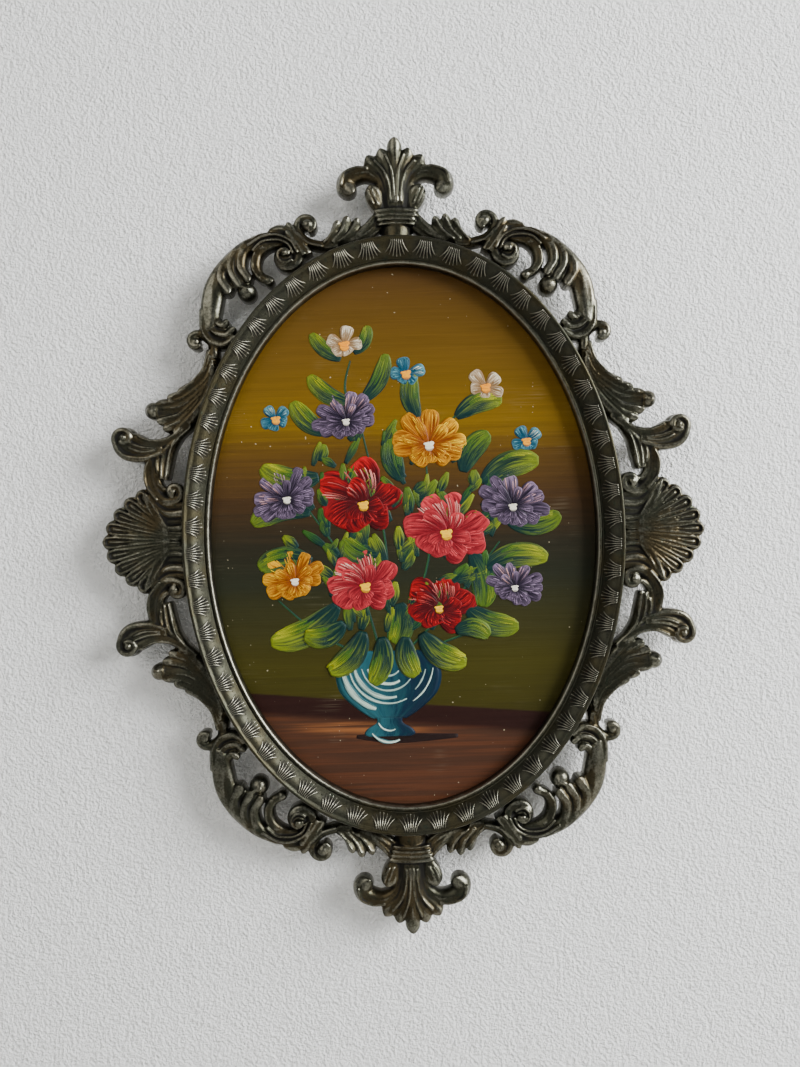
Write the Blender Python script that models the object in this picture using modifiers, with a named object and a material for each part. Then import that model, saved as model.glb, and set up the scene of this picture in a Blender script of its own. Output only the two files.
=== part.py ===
"""Framed oval oil painting: a panel, its oval bezel, and the cast openwork frame round them.

Metres, +Z up. The picture faces -Y, its flat back lies on the plane y = 0, and the origin is the
centre of that back. Carved forms are drawn in carving units round a drawn oval, one quarter only,
and are laid round the real rim by one rule, so they follow it when a driving size changes.
"""
import math

import bmesh
import bpy
from mathutils import Vector

# Driving dimensions, in metres
PICTURE_WIDTH = 0.130
PICTURE_HEIGHT = 0.180
PANEL_THICKNESS = 0.0030
LIP_COVER = 0.0022
LIP_WIDTH = 0.0014
LIP_RISE = 0.0007
BAND_WIDTH = 0.0066
BAND_DOME = 0.0009
BEZEL_OUTER_RISE = 0.0036
RECESS_DEPTH = 0.0036
RIM_LAP = 0.0004
RIM_BACK = 0.0006
RIM_DEPTH = 0.0054
FIT_GAP = 0.0003
RELIEF_BACK = 0.0026
CARVING_UNIT = 0.001
EYE_BORE = 0.0070
EYE_WIRE = 0.0020
EYE_STAND = 0.0044
EYE_POCKET = 0.0022
ROLL_RADIUS = 0.0008
CUTTER_DEPTH = 0.05
OVAL_STEPS = 72
EYE_STEPS = 24
VOXEL = 0.00045
QUARTER_TRIANGLES = 1480

# The oval that the carving is drawn round, in carving units: its half width and half height
DRAWN_OVAL = (70.8, 96.2)

# Places worked out from the sizes above
OPENING = (PICTURE_WIDTH / 2 - LIP_COVER, PICTURE_HEIGHT / 2 - LIP_COVER)
BEZEL_WIDTH = LIP_WIDTH + BAND_WIDTH
BEZEL_OUTER = (OPENING[0] + BEZEL_WIDTH, OPENING[1] + BEZEL_WIDTH)
SEAT_OUTER = (BEZEL_OUTER[0] + FIT_GAP, BEZEL_OUTER[1] + FIT_GAP)
RIM_INNER = (PICTURE_WIDTH / 2 + FIT_GAP, PICTURE_HEIGHT / 2 + FIT_GAP)
RIM_OUTER = (SEAT_OUTER[0] + RIM_LAP, SEAT_OUTER[1] + RIM_LAP)
RIM_FRONT = -(RIM_BACK + RIM_DEPTH)
LIP_FRONT = -(PANEL_THICKNESS + RECESS_DEPTH)


def metal(name, colour, roughness):
    """Make a patinated metal material."""
    made = bpy.data.materials.new(name)
    made.use_nodes = True
    shader = made.node_tree.nodes["Principled BSDF"]
    shader.inputs["Base Color"].default_value = (*colour, 1.0)
    shader.inputs["Metallic"].default_value = 1.0
    shader.inputs["Roughness"].default_value = roughness
    return made


def paint(name, colour, roughness):
    """Make a painted material."""
    made = metal(name, colour, roughness)
    made.node_tree.nodes["Principled BSDF"].inputs["Metallic"].default_value = 0.0
    return made


def collection(name):
    """Make a collection in the scene."""
    made = bpy.data.collections.new(name)
    bpy.context.scene.collection.children.link(made)
    return made


def add_object(name, mesh, into, material=None):
    """Put a mesh into a collection as a named object."""
    made = bpy.data.objects.new(name, mesh)
    into.objects.link(made)
    if material:
        mesh.materials.append(material)
    return made


def lay(x, z):
    """Lay a drawn point round the real rim: at the same angle, and as far above the oval."""
    half_x, half_z = DRAWN_OVAL
    turn = math.atan2(x / half_x, z / half_z)
    rise = (math.hypot(x / half_x, z / half_z) - 1.0) * CARVING_UNIT
    real_x = (BEZEL_OUTER[0] + rise * half_x) * math.sin(turn)
    real_z = (BEZEL_OUTER[1] + rise * half_z) * math.cos(turn)
    return real_x, real_z


def smooth(points, steps=5):
    """Run a smooth curve through the points; each point is a tuple of numbers."""
    made = []
    last = len(points) - 1
    for i in range(last):
        before, after = points[max(i - 1, 0)], points[min(i + 2, last)]
        for k in range(steps):
            t = k / steps
            made.append(tuple(
                b + t * ((c - a) + (2 * a - 5 * b + 4 * c - d) * t + (3 * b - a - 3 * c + d) * t * t) / 2
                for a, b, c, d in zip(before, points[i], points[i + 1], after)
            ))
    made.append(points[-1])
    return made


def curl(start, centre, turn, end_radius, end_width, steps=12):
    """Wind a spiral from the start point (x, z, half width) round a centre, in carving units."""
    x, z, width = start
    radius = math.hypot(x - centre[0], z - centre[1])
    angle = math.atan2(z - centre[1], x - centre[0])
    made = []
    for k in range(1, steps + 1):
        t = k / steps
        r = radius + (end_radius - radius) * t
        a = angle + math.radians(turn) * t
        half = width + (end_width - width) * t
        made.append((centre[0] + r * math.cos(a), centre[1] + r * math.sin(a), half))
    return made


def strand(body, points, crest, steps=5):
    """Loft one rounded strand of relief through drawn points (x, z, half width), up to its crest."""
    path = smooth(points, steps)
    arc = [math.pi * k / 6 for k in range(7)]
    rings = []
    for i, (x, z, width) in enumerate(path):
        ahead, behind = path[min(i + 1, len(path) - 1)], path[max(i - 1, 0)]
        along = Vector((ahead[0] - behind[0], ahead[1] - behind[1])).normalized()
        cos_side, sin_side = -along.y, along.x
        ring = []
        for a in arc:
            side, lift = width * math.cos(a), crest * math.sin(a) ** 0.7
            px, pz = lay(x + side * cos_side, z + side * sin_side)
            ring.append(body.verts.new((px, -RELIEF_BACK - lift * CARVING_UNIT, pz)))
        rings.append(ring)
    for first, second in zip(rings, rings[1:]):
        for k in range(len(arc)):
            n = (k + 1) % len(arc)
            body.faces.new((first[k], first[n], second[n], second[k]))
    body.faces.new(rings[0])
    body.faces.new(list(reversed(rings[-1])))
    ball(body, path[-1][0], path[-1][1], path[-1][2], crest)


def ball(body, x, z, radius, crest):
    """Set a rounded end or ball of relief at a drawn place: a half-drum with a domed top."""
    rings = []
    sides = 12
    for level in (0.0, 0.55, 0.85, 1.0):
        shrink = math.sqrt(1.0 - level ** 3)
        lift = crest * level
        if level == 1.0:
            shrink = 0.25
        ring = []
        for k in range(sides):
            a = 2 * math.pi * k / sides
            px, pz = lay(x + radius * shrink * math.cos(a), z + radius * shrink * math.sin(a))
            ring.append(body.verts.new((px, -RELIEF_BACK - lift * CARVING_UNIT, pz)))
        rings.append(ring)
    for first, second in zip(rings, rings[1:]):
        for k in range(sides):
            n = (k + 1) % sides
            body.faces.new((first[k], first[n], second[n], second[k]))
    body.faces.new(list(reversed(rings[0])))
    body.faces.new(rings[-1])


def spray(body, root, tips, bow, width, crest, count):
    """Fan out fronds from a root line to a line of tips, each bowed to one side.

    root and tips are each (first x, first z, last x, last z); bow is (first, last), sideways
    from the straight line; width is (root, tip) half width.
    """
    for k in range(count):
        t = k / max(count - 1, 1)
        start = Vector((root[0] + (root[2] - root[0]) * t, root[1] + (root[3] - root[1]) * t))
        end = Vector((tips[0] + (tips[2] - tips[0]) * t, tips[1] + (tips[3] - tips[1]) * t))
        across = Vector((start.y - end.y, end.x - start.x)).normalized()
        push = across * (bow[0] + (bow[1] - bow[0]) * t)
        middle = (width[0] + width[1]) / 2
        first = start.lerp(end, 0.33) + push
        second = start.lerp(end, 0.70) + push * 0.9
        strand(body, [(*start, width[0]), (*first, middle), (*second, middle), (*end, width[1])], crest)


def carve_finial(body):
    """Carve half of the finial: a tongue, feathers, a curled arm, an ear, and the collar."""
    strand(body, [(0, 106, 1.0), (0, 114, 1.2), (0, 121, 1.6), (0, 126.3, 2.3)], 5.2)
    spray(body, (1.2, 106, 2.6, 106), (3.9, 124.2, 7.4, 121.9), (-0.6, -1.0), (0.9, 1.8), 4.6, 2)
    arm = [(3.4, 106, 1.2), (4.6, 112, 1.4), (8.0, 117.2, 1.8), (12.6, 118.7, 2.2), (16.2, 116.2, 2.7)]
    strand(body, arm + [(15.4, 112.9, 2.6)], 4.8)
    strand(body, [(4.8, 105.5, 1.7), (6.2, 108.5, 1.9), (7.0, 111.4, 2.2)], 5.4)
    strand(body, [(0, 94.5, 5.2), (0, 97.5, 5.0), (0, 100.4, 5.8), (0, 103.0, 7.1), (0, 105.0, 7.3)], 5.8)
    for z, half, crest in ((96.9, 5.2, 6.2), (102.4, 7.0, 6.8), (105.2, 7.2, 6.8)):
        strand(body, [(0, z + 0.3, 0.9), (half * 0.5, z + 0.1, 0.9), (half - 0.6, z - 0.2, 0.8)], crest)


def carve_spray(body):
    """Carve the spray beside the collar: its stems, three lobes, the hooked volute and the clip."""
    strand(body, [(5.0, 104.6, 1.5), (9.5, 100.4, 1.5), (14.5, 96.8, 1.6), (20.5, 95.5, 1.6)], 4.2)
    strand(body, [(5.0, 102.2, 1.2), (9.2, 98.4, 1.2), (14.0, 95.6, 1.4)], 3.6)
    spray(body, (18.5, 95.4, 25.0, 95.0), (12.9, 102.2, 19.4, 101.4), (0.9, 1.1), (1.0, 1.4), 5.0, 3)
    volute = (32.0, 99.6, 1.3)
    band = [(19.0, 94.8, 1.2), (24.5, 94.6, 1.5), (29.6, 96.2, 1.4)]
    strand(body, band + [volute] + curl(volute, (28.7, 101.5), 235, 2.4, 0.9), 4.8, 3)
    ball(body, 28.7, 101.6, 1.9, 5.2)
    strand(body, [(28.3, 91.8, 1.2), (31.4, 96.6, 1.2), (34.5, 101.6, 0.9)], 5.6)
    strand(body, [(31.4, 94.2, 1.2), (33.8, 98.6, 1.6), (37.4, 100.2, 1.7), (40.0, 99.7, 1.3)], 5.0)


def carve_c_scroll(body):
    """Carve the large C scroll: its volute, lip, folds, spine, belly, hem and ball."""
    start = (31.6, 92.4, 1.9)
    over = [(45.0, 96.0, 2.4), (39.5, 97.2, 2.2), (34.2, 96.2, 2.0)]
    strand(body, over + [start] + curl(start, (35.2, 91.4), 320, 1.9, 1.1), 5.8, 3)
    ball(body, 35.4, 92.4, 1.9, 6.4)
    lip = [(36.5, 96.6, 1.2), (41.6, 95.2, 1.4), (44.6, 91.0, 1.4), (43.4, 85.2, 1.4), (39.0, 83.9, 1.5)]
    strand(body, lip, 5.0)
    strand(body, [(41.5, 97.0, 1.3), (46.0, 93.8, 1.4), (46.6, 87.4, 1.2), (43.0, 83.4, 1.1)], 5.2)
    spray(body, (44.2, 96.6, 50.6, 93.6), (49.2, 82.6, 55.0, 81.4), (2.0, 1.6), (1.4, 1.4), 6.2, 3)
    ball(body, 49.2, 80.0, 2.8, 6.0)
    spine = [(43.0, 97.0, 1.2), (50.0, 94.0, 1.6), (56.2, 88.4, 1.9), (60.0, 82.2, 2.0), (61.4, 75.6, 1.8)]
    strand(body, spine + [(60.8, 69.6, 1.6)], 5.8)
    strand(body, [(54.5, 88.0, 1.8), (57.8, 82.2, 2.1), (58.8, 77.0, 2.2), (60.0, 72.4, 1.5)], 5.2)
    spray(body, (61.4, 76.4, 61.2, 70.0), (56.0, 73.2, 51.4, 66.4), (0.8, 2.2), (1.2, 1.35), 5.0, 4)


def carve_side_leaf(body):
    """Carve the side leaf: its hooked curl, stem, six fronds and the ball beyond them."""
    hook = [(59.6, 60.0, 1.4), (60.9, 64.6, 1.2), (63.6, 67.0, 1.1), (66.2, 66.6, 1.1), (67.0, 65.0, 1.0)]
    strand(body, hook, 4.8)
    ball(body, 66.1, 64.7, 1.6, 4.6)
    stem = [(60.8, 64.6, 1.3), (60.2, 59.0, 2.0), (61.2, 53.0, 2.4), (64.2, 47.4, 2.7), (68.6, 43.6, 2.4)]
    strand(body, stem, 4.8)
    spray(body, (60.4, 60.6, 61.6, 52.4), (70.6, 48.5, 77.6, 44.2), (-1.9, -1.5), (1.2, 1.4), 5.4, 3)
    spray(body, (61.8, 50.8, 62.6, 46.6), (78.0, 41.6, 76.0, 36.8), (-1.5, -1.3), (1.2, 1.4), 5.4, 3)
    ball(body, 80.3, 42.4, 2.6, 5.8)
    rib = [(59.4, 56.5, 1.3), (62.2, 47.6, 1.5), (65.8, 40.8, 1.5), (70.0, 36.2, 1.5), (74.2, 32.8, 1.5)]
    strand(body, rib, 4.2)


def carve_side_volute(body):
    """Carve the side volute, its hanging leaf and the small C scroll above the shell."""
    upper = [(68.0, 37.6, 1.3), (72.4, 34.0, 1.6), (77.0, 31.4, 1.7), (82.0, 31.4, 1.7), (86.0, 34.4, 1.5)]
    strand(body, upper, 4.8)
    start = (92.6, 33.0, 1.7)
    band = [(77.5, 29.6, 1.4), (83.0, 27.4, 1.6), (88.6, 27.2, 1.7), (91.8, 29.6, 1.7)]
    strand(body, band + [start] + curl(start, (89.6, 33.7), 290, 1.4, 1.0), 5.0, 3)
    ball(body, 89.6, 33.8, 1.6, 4.2)
    strand(body, [(78.0, 30.2, 1.8), (83.6, 29.6, 2.2), (88.6, 30.6, 2.2)], 3.8)
    spray(body, (70.6, 35.0, 75.6, 29.6), (76.2, 20.8, 78.6, 25.0), (1.4, 0.4), (1.3, 1.2), 4.6, 3)
    start = (72.6, 13.6, 1.4)
    band = [(78.6, 29.4, 1.4), (81.4, 25.4, 1.6), (81.6, 20.4, 1.8), (79.4, 15.6, 1.9), (76.0, 13.2, 1.6)]
    strand(body, band + [start] + curl(start, (73.9, 15.9), -270, 1.4, 0.9), 5.2, 3)
    ball(body, 74.2, 15.8, 1.3, 5.0)
    strand(body, [(79.2, 27.0, 1.0), (79.8, 22.0, 1.1), (78.4, 17.8, 1.1), (76.0, 16.4, 1.0)], 4.4)


def carve_shell(body):
    """Carve half of the shell: a web, the ribs between its flutes, rounded lobe ends and edge rolls."""
    lobes = ((97.2, 0.0), (95.6, 5.6), (92.6, 10.9), (88.0, 15.2))
    for x, z in lobes:
        waist = z * 0.26
        middle = waist + (z - waist) * 0.46
        lobe = [(69.5, waist * 0.8, 1.2), (77.0, waist, 0.9), (86.0, middle, 1.7), (x - 1.6, z * 0.99, 2.6)]
        strand(body, lobe, 3.4)
    for (x0, z0), (x1, z1) in zip(lobes, lobes[1:]):
        x, z = (x0 + x1) / 2, (z0 + z1) / 2
        waist = z * 0.26
        middle = waist + (z - waist) * 0.46
        rib = [(70.0, waist * 0.8, 0.5), (77.0, waist, 0.5), (86.0, middle, 0.6), (x + 0.2, z, 0.7)]
        strand(body, rib, 5.0)
    edge = [(69.8, 4.4, 1.2), (75.2, 4.4, 1.1), (79.6, 6.4, 1.1), (82.4, 10.6, 1.1), (85.6, 16.4, 1.3)]
    strand(body, edge, 5.2)
    strand(body, [(69.8, 8.4, 1.8), (75.6, 7.6, 1.8), (80.2, 10.0, 1.7), (83.4, 15.4, 1.1)], 4.6)
    strand(body, [(76.0, 5.0, 2.0), (81.0, 7.4, 2.6), (85.2, 11.6, 2.6)], 2.6)
    strand(body, [(69.8, 11.4, 1.5), (75.6, 10.8, 1.5), (80.0, 13.0, 1.0)], 4.0)


def carve_quarter(guides):
    """Carve one quarter of the scrollwork and mirror it into the whole, cut flat at both mirror planes."""
    body = bmesh.new()
    for carve in (carve_finial, carve_spray, carve_c_scroll, carve_side_leaf, carve_side_volute, carve_shell):
        carve(body)
    bmesh.ops.recalc_face_normals(body, faces=body.faces)
    mesh = bpy.data.meshes.new("scrollwork_quarter")
    body.to_mesh(mesh)
    body.free()
    quarter = add_object("scrollwork_quarter", mesh, guides)
    fuse = quarter.modifiers.new("fuse", "REMESH")
    fuse.mode = "VOXEL"
    fuse.voxel_size = VOXEL
    soften = quarter.modifiers.new("soften", "SMOOTH")
    soften.factor = 0.4
    soften.iterations = 1
    thin = quarter.modifiers.new("thin", "DECIMATE")
    thin.ratio = min(1.0, QUARTER_TRIANGLES / triangle_count(quarter))
    mirror = quarter.modifiers.new("mirror", "MIRROR")
    mirror.use_axis = (True, False, True)
    mirror.use_bisect_axis = (True, False, True)
    mirror.use_clip = True
    mirror.bisect_threshold = 0.000001
    mirror.merge_threshold = 0.000002
    return quarter


def triangle_count(item):
    """Count the triangles of an object as it now evaluates."""
    seen = item.evaluated_get(bpy.context.evaluated_depsgraph_get())
    mesh = seen.to_mesh()
    mesh.calc_loop_triangles()
    count = len(mesh.loop_triangles)
    seen.to_mesh_clear()
    return count


def oval_ring(profile, steps=OVAL_STEPS):
    """Sweep a closed profile round the oval: (outward offset from the opening's edge, y) points."""
    body = bmesh.new()
    rings = []
    for k in range(steps):
        a = 2 * math.pi * k / steps
        ring = []
        for out, y in profile:
            x, z = (OPENING[0] + out) * math.sin(a), (OPENING[1] + out) * math.cos(a)
            ring.append(body.verts.new((x, y, z)))
        rings.append(ring)
    for i in range(steps):
        first, second = rings[i], rings[(i + 1) % steps]
        for k in range(len(profile)):
            n = (k + 1) % len(profile)
            body.faces.new((first[k], first[n], second[n], second[k]))
    bmesh.ops.recalc_face_normals(body, faces=body.faces)
    return body


def oval_disc(half_x, half_z, y_front, y_back, steps=OVAL_STEPS, height=0.0):
    """Make an oval disc between two y planes, centred at a height on the z axis."""
    body = bmesh.new()
    bmesh.ops.create_cone(body, cap_ends=True, segments=steps, radius1=1.0, radius2=1.0, depth=1.0)
    for vert in body.verts:
        x, y, z = vert.co
        vert.co = (x * half_x, y_back if z > 0 else y_front, y * half_z + height)
    body.normal_update()
    bmesh.ops.recalc_face_normals(body, faces=body.faces)
    return body


def mesh_of(name, body):
    """Turn a bmesh into a mesh and free it."""
    mesh = bpy.data.meshes.new(name)
    body.to_mesh(mesh)
    body.free()
    return mesh


def bezel_profile():
    """Work out the bezel's section, from the lip over the domed band to the rolled outer edge."""
    skirt = -(PANEL_THICKNESS + FIT_GAP)
    seat = RIM_FRONT - FIT_GAP
    lip = [(0.0, skirt), (0.0, LIP_FRONT), (LIP_WIDTH * 0.5, LIP_FRONT - LIP_RISE), (LIP_WIDTH, LIP_FRONT)]
    band = []
    crest = LIP_FRONT - BEZEL_OUTER_RISE
    for k in range(1, 4):
        t = k / 4
        dome = BAND_DOME * math.sin(math.pi * t)
        band.append((LIP_WIDTH + (BAND_WIDTH - ROLL_RADIUS * 2) * t, LIP_FRONT - BEZEL_OUTER_RISE * t - dome))
    roll = []
    centre = (BEZEL_WIDTH - ROLL_RADIUS, crest)
    for k in range(4):
        a = math.radians(150 - 58 * k)
        roll.append((centre[0] + ROLL_RADIUS * math.cos(a), centre[1] - ROLL_RADIUS * math.sin(a)))
    inner_edge = RIM_INNER[0] - OPENING[0]
    step = inner_edge - FIT_GAP
    back = [(BEZEL_WIDTH - ROLL_RADIUS * 0.4, seat), (step, seat), (step - FIT_GAP, skirt)]
    return lip + band + roll + back


def rim_profile():
    """Work out the section of the rim that carries the panel and the bezel."""
    inner = RIM_INNER[0] - OPENING[0]
    outer = RIM_OUTER[0] - OPENING[0]
    chamfer = RIM_DEPTH * 0.12
    return [
        (inner, -RIM_BACK), (inner, RIM_FRONT), (outer - chamfer, RIM_FRONT), (outer, RIM_FRONT + chamfer),
        (outer, -RIM_BACK - chamfer), (outer - chamfer, -RIM_BACK),
    ]


def boolean(target, other, operation):
    """Join or cut an object with another. The carving folds over itself, which only MANIFOLD joins."""
    made = target.modifiers.new(other.name, "BOOLEAN")
    made.operation = operation
    made.solver = "MANIFOLD"
    made.object = other


def hide_guide(item):
    """Mark a guide or cutter as no part of the object."""
    item.hide_render = True
    item.display_type = "WIRE"


def add_guide(name, body, guides):
    """Add a guide or cutter solid that is no part of the object."""
    guide = add_object(name, mesh_of(name, body), guides)
    hide_guide(guide)
    return guide


def build_openwork(parts, guides, material):
    """Build the cast frame: scrollwork cut back to the bezel, joined to the rim and a bored hanging eye."""
    scrollwork = carve_quarter(guides)
    hide_guide(scrollwork)
    seat = add_guide("bezel_seat", oval_disc(*SEAT_OUTER, -CUTTER_DEPTH, CUTTER_DEPTH), guides)
    boolean(scrollwork, seat, "DIFFERENCE")
    height = RIM_OUTER[1] + EYE_STAND
    eye_radius, bore_radius = EYE_BORE / 2 + EYE_WIRE, EYE_BORE / 2
    eye_front, eye_back = -(RELIEF_BACK + EYE_WIRE), -(RIM_BACK + FIT_GAP)
    boss_body = oval_disc(eye_radius, eye_radius, eye_front, eye_back, EYE_STEPS, height)
    eye = add_guide("eye_boss", boss_body, guides)
    pocket = -(RELIEF_BACK + EYE_POCKET)
    bore_body = oval_disc(bore_radius, bore_radius, pocket, CUTTER_DEPTH, EYE_STEPS, height)
    bore = add_guide("eye_bore", bore_body, guides)
    frame = add_object("openwork_frame", mesh_of("openwork_frame", oval_ring(rim_profile())), parts, material)
    boolean(frame, scrollwork, "UNION")
    boolean(frame, eye, "UNION")
    boolean(frame, bore, "DIFFERENCE")
    return frame


def main():
    """Build the three pieces."""
    for item in list(bpy.data.objects):
        bpy.data.objects.remove(item, do_unlink=True)
    parts = collection("framed_oil_painting")
    guides = collection("guides_and_cutters")
    old_metal = metal("patinated_cast_metal", (0.16, 0.135, 0.095), 0.42)
    pressed = metal("patinated_pressed_metal", (0.15, 0.115, 0.075), 0.45)
    oil = paint("oil_paint", (0.15, 0.10, 0.03), 0.45)
    build_openwork(parts, guides, old_metal)
    add_object("oval_bezel", mesh_of("oval_bezel", oval_ring(bezel_profile())), parts, pressed)
    panel = oval_disc(PICTURE_WIDTH / 2, PICTURE_HEIGHT / 2, -PANEL_THICKNESS, 0.0)
    add_object("painted_panel", mesh_of("painted_panel", panel), parts, oil)


main()
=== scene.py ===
"""The looks of a small oval oil painting in its cast openwork frame.

Lengths are in metres in the object's own frame: +Z up, the picture faces -Y, and the flat back lies
on the plane y = 0. Carved and painted forms are drawn in millimetres. The carving is drawn in one
quarter, round a drawn oval, and one rule lays it round the real rim.
"""
import logging
import math
import random
from dataclasses import dataclass, field
from enum import Enum
from typing import Callable, Iterable, Optional, Sequence, Union

import bmesh
import bpy
import numpy as np
from mathutils import Matrix, Vector


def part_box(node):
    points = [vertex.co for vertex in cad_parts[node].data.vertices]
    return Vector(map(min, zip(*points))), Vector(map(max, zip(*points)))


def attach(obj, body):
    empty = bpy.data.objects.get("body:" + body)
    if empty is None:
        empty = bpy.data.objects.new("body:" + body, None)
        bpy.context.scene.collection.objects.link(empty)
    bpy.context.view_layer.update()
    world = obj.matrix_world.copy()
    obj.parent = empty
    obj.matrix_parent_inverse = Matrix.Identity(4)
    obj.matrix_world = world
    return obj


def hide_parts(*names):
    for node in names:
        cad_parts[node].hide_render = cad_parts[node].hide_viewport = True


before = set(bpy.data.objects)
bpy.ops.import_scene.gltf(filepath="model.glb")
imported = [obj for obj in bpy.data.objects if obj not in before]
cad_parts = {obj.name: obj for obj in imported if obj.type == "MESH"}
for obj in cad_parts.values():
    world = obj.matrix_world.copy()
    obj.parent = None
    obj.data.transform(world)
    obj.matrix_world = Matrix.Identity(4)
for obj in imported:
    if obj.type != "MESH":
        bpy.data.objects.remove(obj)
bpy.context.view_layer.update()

MM = 0.001
# More than any crest, in mm, so that it sets no limit.
FREE_DOME = 9.0
BODY = "root"
LOG = logging.getLogger("framed_oil_painting")

Colour = tuple[float, float, float]
Point = tuple[float, ...]
Term = Union[float, "Value"]
Shade = Union[Colour, "Value"]


def blend(first: Colour, second: Colour, share: float) -> Colour:
    """Mix two colours, from the first at 0 to the second at 1."""
    return tuple(a + (b - a) * share for a, b in zip(first, second))


def tone(red: int, green: int, blue: int) -> Colour:
    """Turn a display colour (0 to 255) into the linear colour that a shader takes.

    Args:
        red: The red part.
        green: The green part.
        blue: The blue part.

    Returns:
        The linear colour.
    """
    parts = [part / 255.0 for part in (red, green, blue)]
    return tuple(p / 12.92 if p <= 0.04045 else ((p + 0.055) / 1.055) ** 2.4 for p in parts)


class Value:
    """One output of a node tree, on which Python's own operators do the sums."""

    def __init__(self, net: "Net", socket: bpy.types.NodeSocket) -> None:
        """Wrap an output socket of a net."""
        self.net = net
        self.socket = socket

    def __add__(self, other: Term) -> "Value":
        """Add."""
        return self.net.sum("ADD", self, other)

    def __sub__(self, other: Term) -> "Value":
        """Take away."""
        return self.net.sum("SUBTRACT", self, other)

    def __rsub__(self, other: Term) -> "Value":
        """Take this away from a number."""
        return self.net.sum("SUBTRACT", other, self)

    def __mul__(self, other: Term) -> "Value":
        """Multiply."""
        return self.net.sum("MULTIPLY", self, other)

    def __truediv__(self, other: Term) -> "Value":
        """Divide."""
        return self.net.sum("DIVIDE", self, other)

    def __pow__(self, other: Term) -> "Value":
        """Raise to a power."""
        return self.net.sum("POWER", self, other)

    def __neg__(self) -> "Value":
        """Turn the sign."""
        return self.net.sum("MULTIPLY", self, -1.0)

    __radd__ = __add__
    __rmul__ = __mul__

    def at_least(self, other: Term) -> "Value":
        """Give the larger of the two."""
        return self.net.sum("MAXIMUM", self, other)

    def at_most(self, other: Term) -> "Value":
        """Give the smaller of the two."""
        return self.net.sum("MINIMUM", self, other)

    def above(self, other: Term) -> "Value":
        """Give 1 where this is above the other, and else 0."""
        return self.net.sum("GREATER_THAN", self, other)

    def step(self, low: float, high: float) -> "Value":
        """Rise smoothly from 0 at the low value to 1 at the high one."""
        sockets = {"Value": self, "From Min": low, "From Max": high}
        return self.net.read("ShaderNodeMapRange", "Result", {"interpolation_type": "SMOOTHSTEP"}, sockets)


class Net:
    """A node tree that is being wired, for a finish or for geometry."""

    def __init__(self, tree: bpy.types.NodeTree) -> None:
        """Take the tree that the nodes go into."""
        self.tree = tree

    def node(
        self, kind: str, settings: Optional[dict] = None, sockets: Optional[dict] = None
    ) -> bpy.types.Node:
        """Add a node.

        Args:
            kind: The node's type.
            settings: Its own settings, which are set first; "stops" are a ramp's stops.
            sockets: Numbers, links or lists of links for its inputs, by name or by number.

        Returns:
            The new node.
        """
        made = self.tree.nodes.new(kind)
        for name, setting in (settings or {}).items():
            if name == "stops":
                self._set_stops(made.color_ramp, setting)
            else:
                setattr(made, name, setting)
        for name, given in (sockets or {}).items():
            socket = made.inputs[name] if isinstance(name, int) else self._find(made.inputs, name)
            for one in given if isinstance(given, list) else [given]:
                if isinstance(one, Value):
                    self.tree.links.new(one.socket, socket)
                elif isinstance(one, tuple) and len(socket.default_value) == 4:
                    socket.default_value = (*one[:3], 1.0)
                else:
                    socket.default_value = one
        return made

    def read(
        self, kind: str, output: str, settings: Optional[dict] = None, sockets: Optional[dict] = None
    ) -> Value:
        """Add a node as node() does and give its named output."""
        return Value(self, self._find(self.node(kind, settings, sockets).outputs, output))

    def sum(self, operation: str, *terms: Term) -> Value:
        """Add a Math node on numbers or values."""
        return self.read("ShaderNodeMath", "Value", {"operation": operation}, dict(enumerate(terms)))

    def vector(self, operation: str, *terms: Union[Value, Point], output: str = "Vector") -> Value:
        """Add a Vector Math node; a scale comes as its second term."""
        sockets = dict(enumerate(terms))
        if operation == "SCALE":
            sockets = {0: terms[0], "Scale": terms[1]}
        return self.read("ShaderNodeVectorMath", output, {"operation": operation}, sockets)

    def mix(self, factor: Term, first: Shade, second: Shade, way: str = "MIX") -> Value:
        """Mix two colours by a factor, in one of Blender's ways."""
        settings = {"data_type": "RGBA", "blend_type": way, "clamp_factor": True}
        return self.read("ShaderNodeMix", "Result", settings, {"Factor": factor, "A": first, "B": second})

    def noise(self, place: Value, size: float, detail: float = 3.0, roughness: float = 0.55) -> Value:
        """Add a noise whose spots are about the given size across."""
        sockets = {"Vector": place, "Scale": 1.0 / size, "Detail": detail, "Roughness": roughness}
        return self.read("ShaderNodeTexNoise", "Fac", None, sockets)

    def grey(self, level: Value) -> Value:
        """Give the grey of a level."""
        return self.read("ShaderNodeCombineColor", "Color", None, {0: level, 1: level, 2: level})

    def split(self, place: Value) -> list[Value]:
        """Give the three parts of a place."""
        parts = self.node("ShaderNodeSeparateXYZ", None, {0: place}).outputs
        return [Value(self, part) for part in parts]

    @staticmethod
    def _find(sockets: Iterable[bpy.types.NodeSocket], name: str) -> bpy.types.NodeSocket:
        """Find the socket of a name that is in use."""
        return next(socket for socket in sockets if socket.enabled and socket.name == name)

    @staticmethod
    def _set_stops(ramp: bpy.types.ColorRamp, stops: Sequence[tuple[float, Colour]]) -> None:
        """Set a ramp's stops."""
        while len(ramp.elements) < len(stops):
            ramp.elements.new(1.0)
        for element, (place, colour) in zip(ramp.elements, stops):
            element.position = place
            element.color = (*colour, 1.0)


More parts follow.
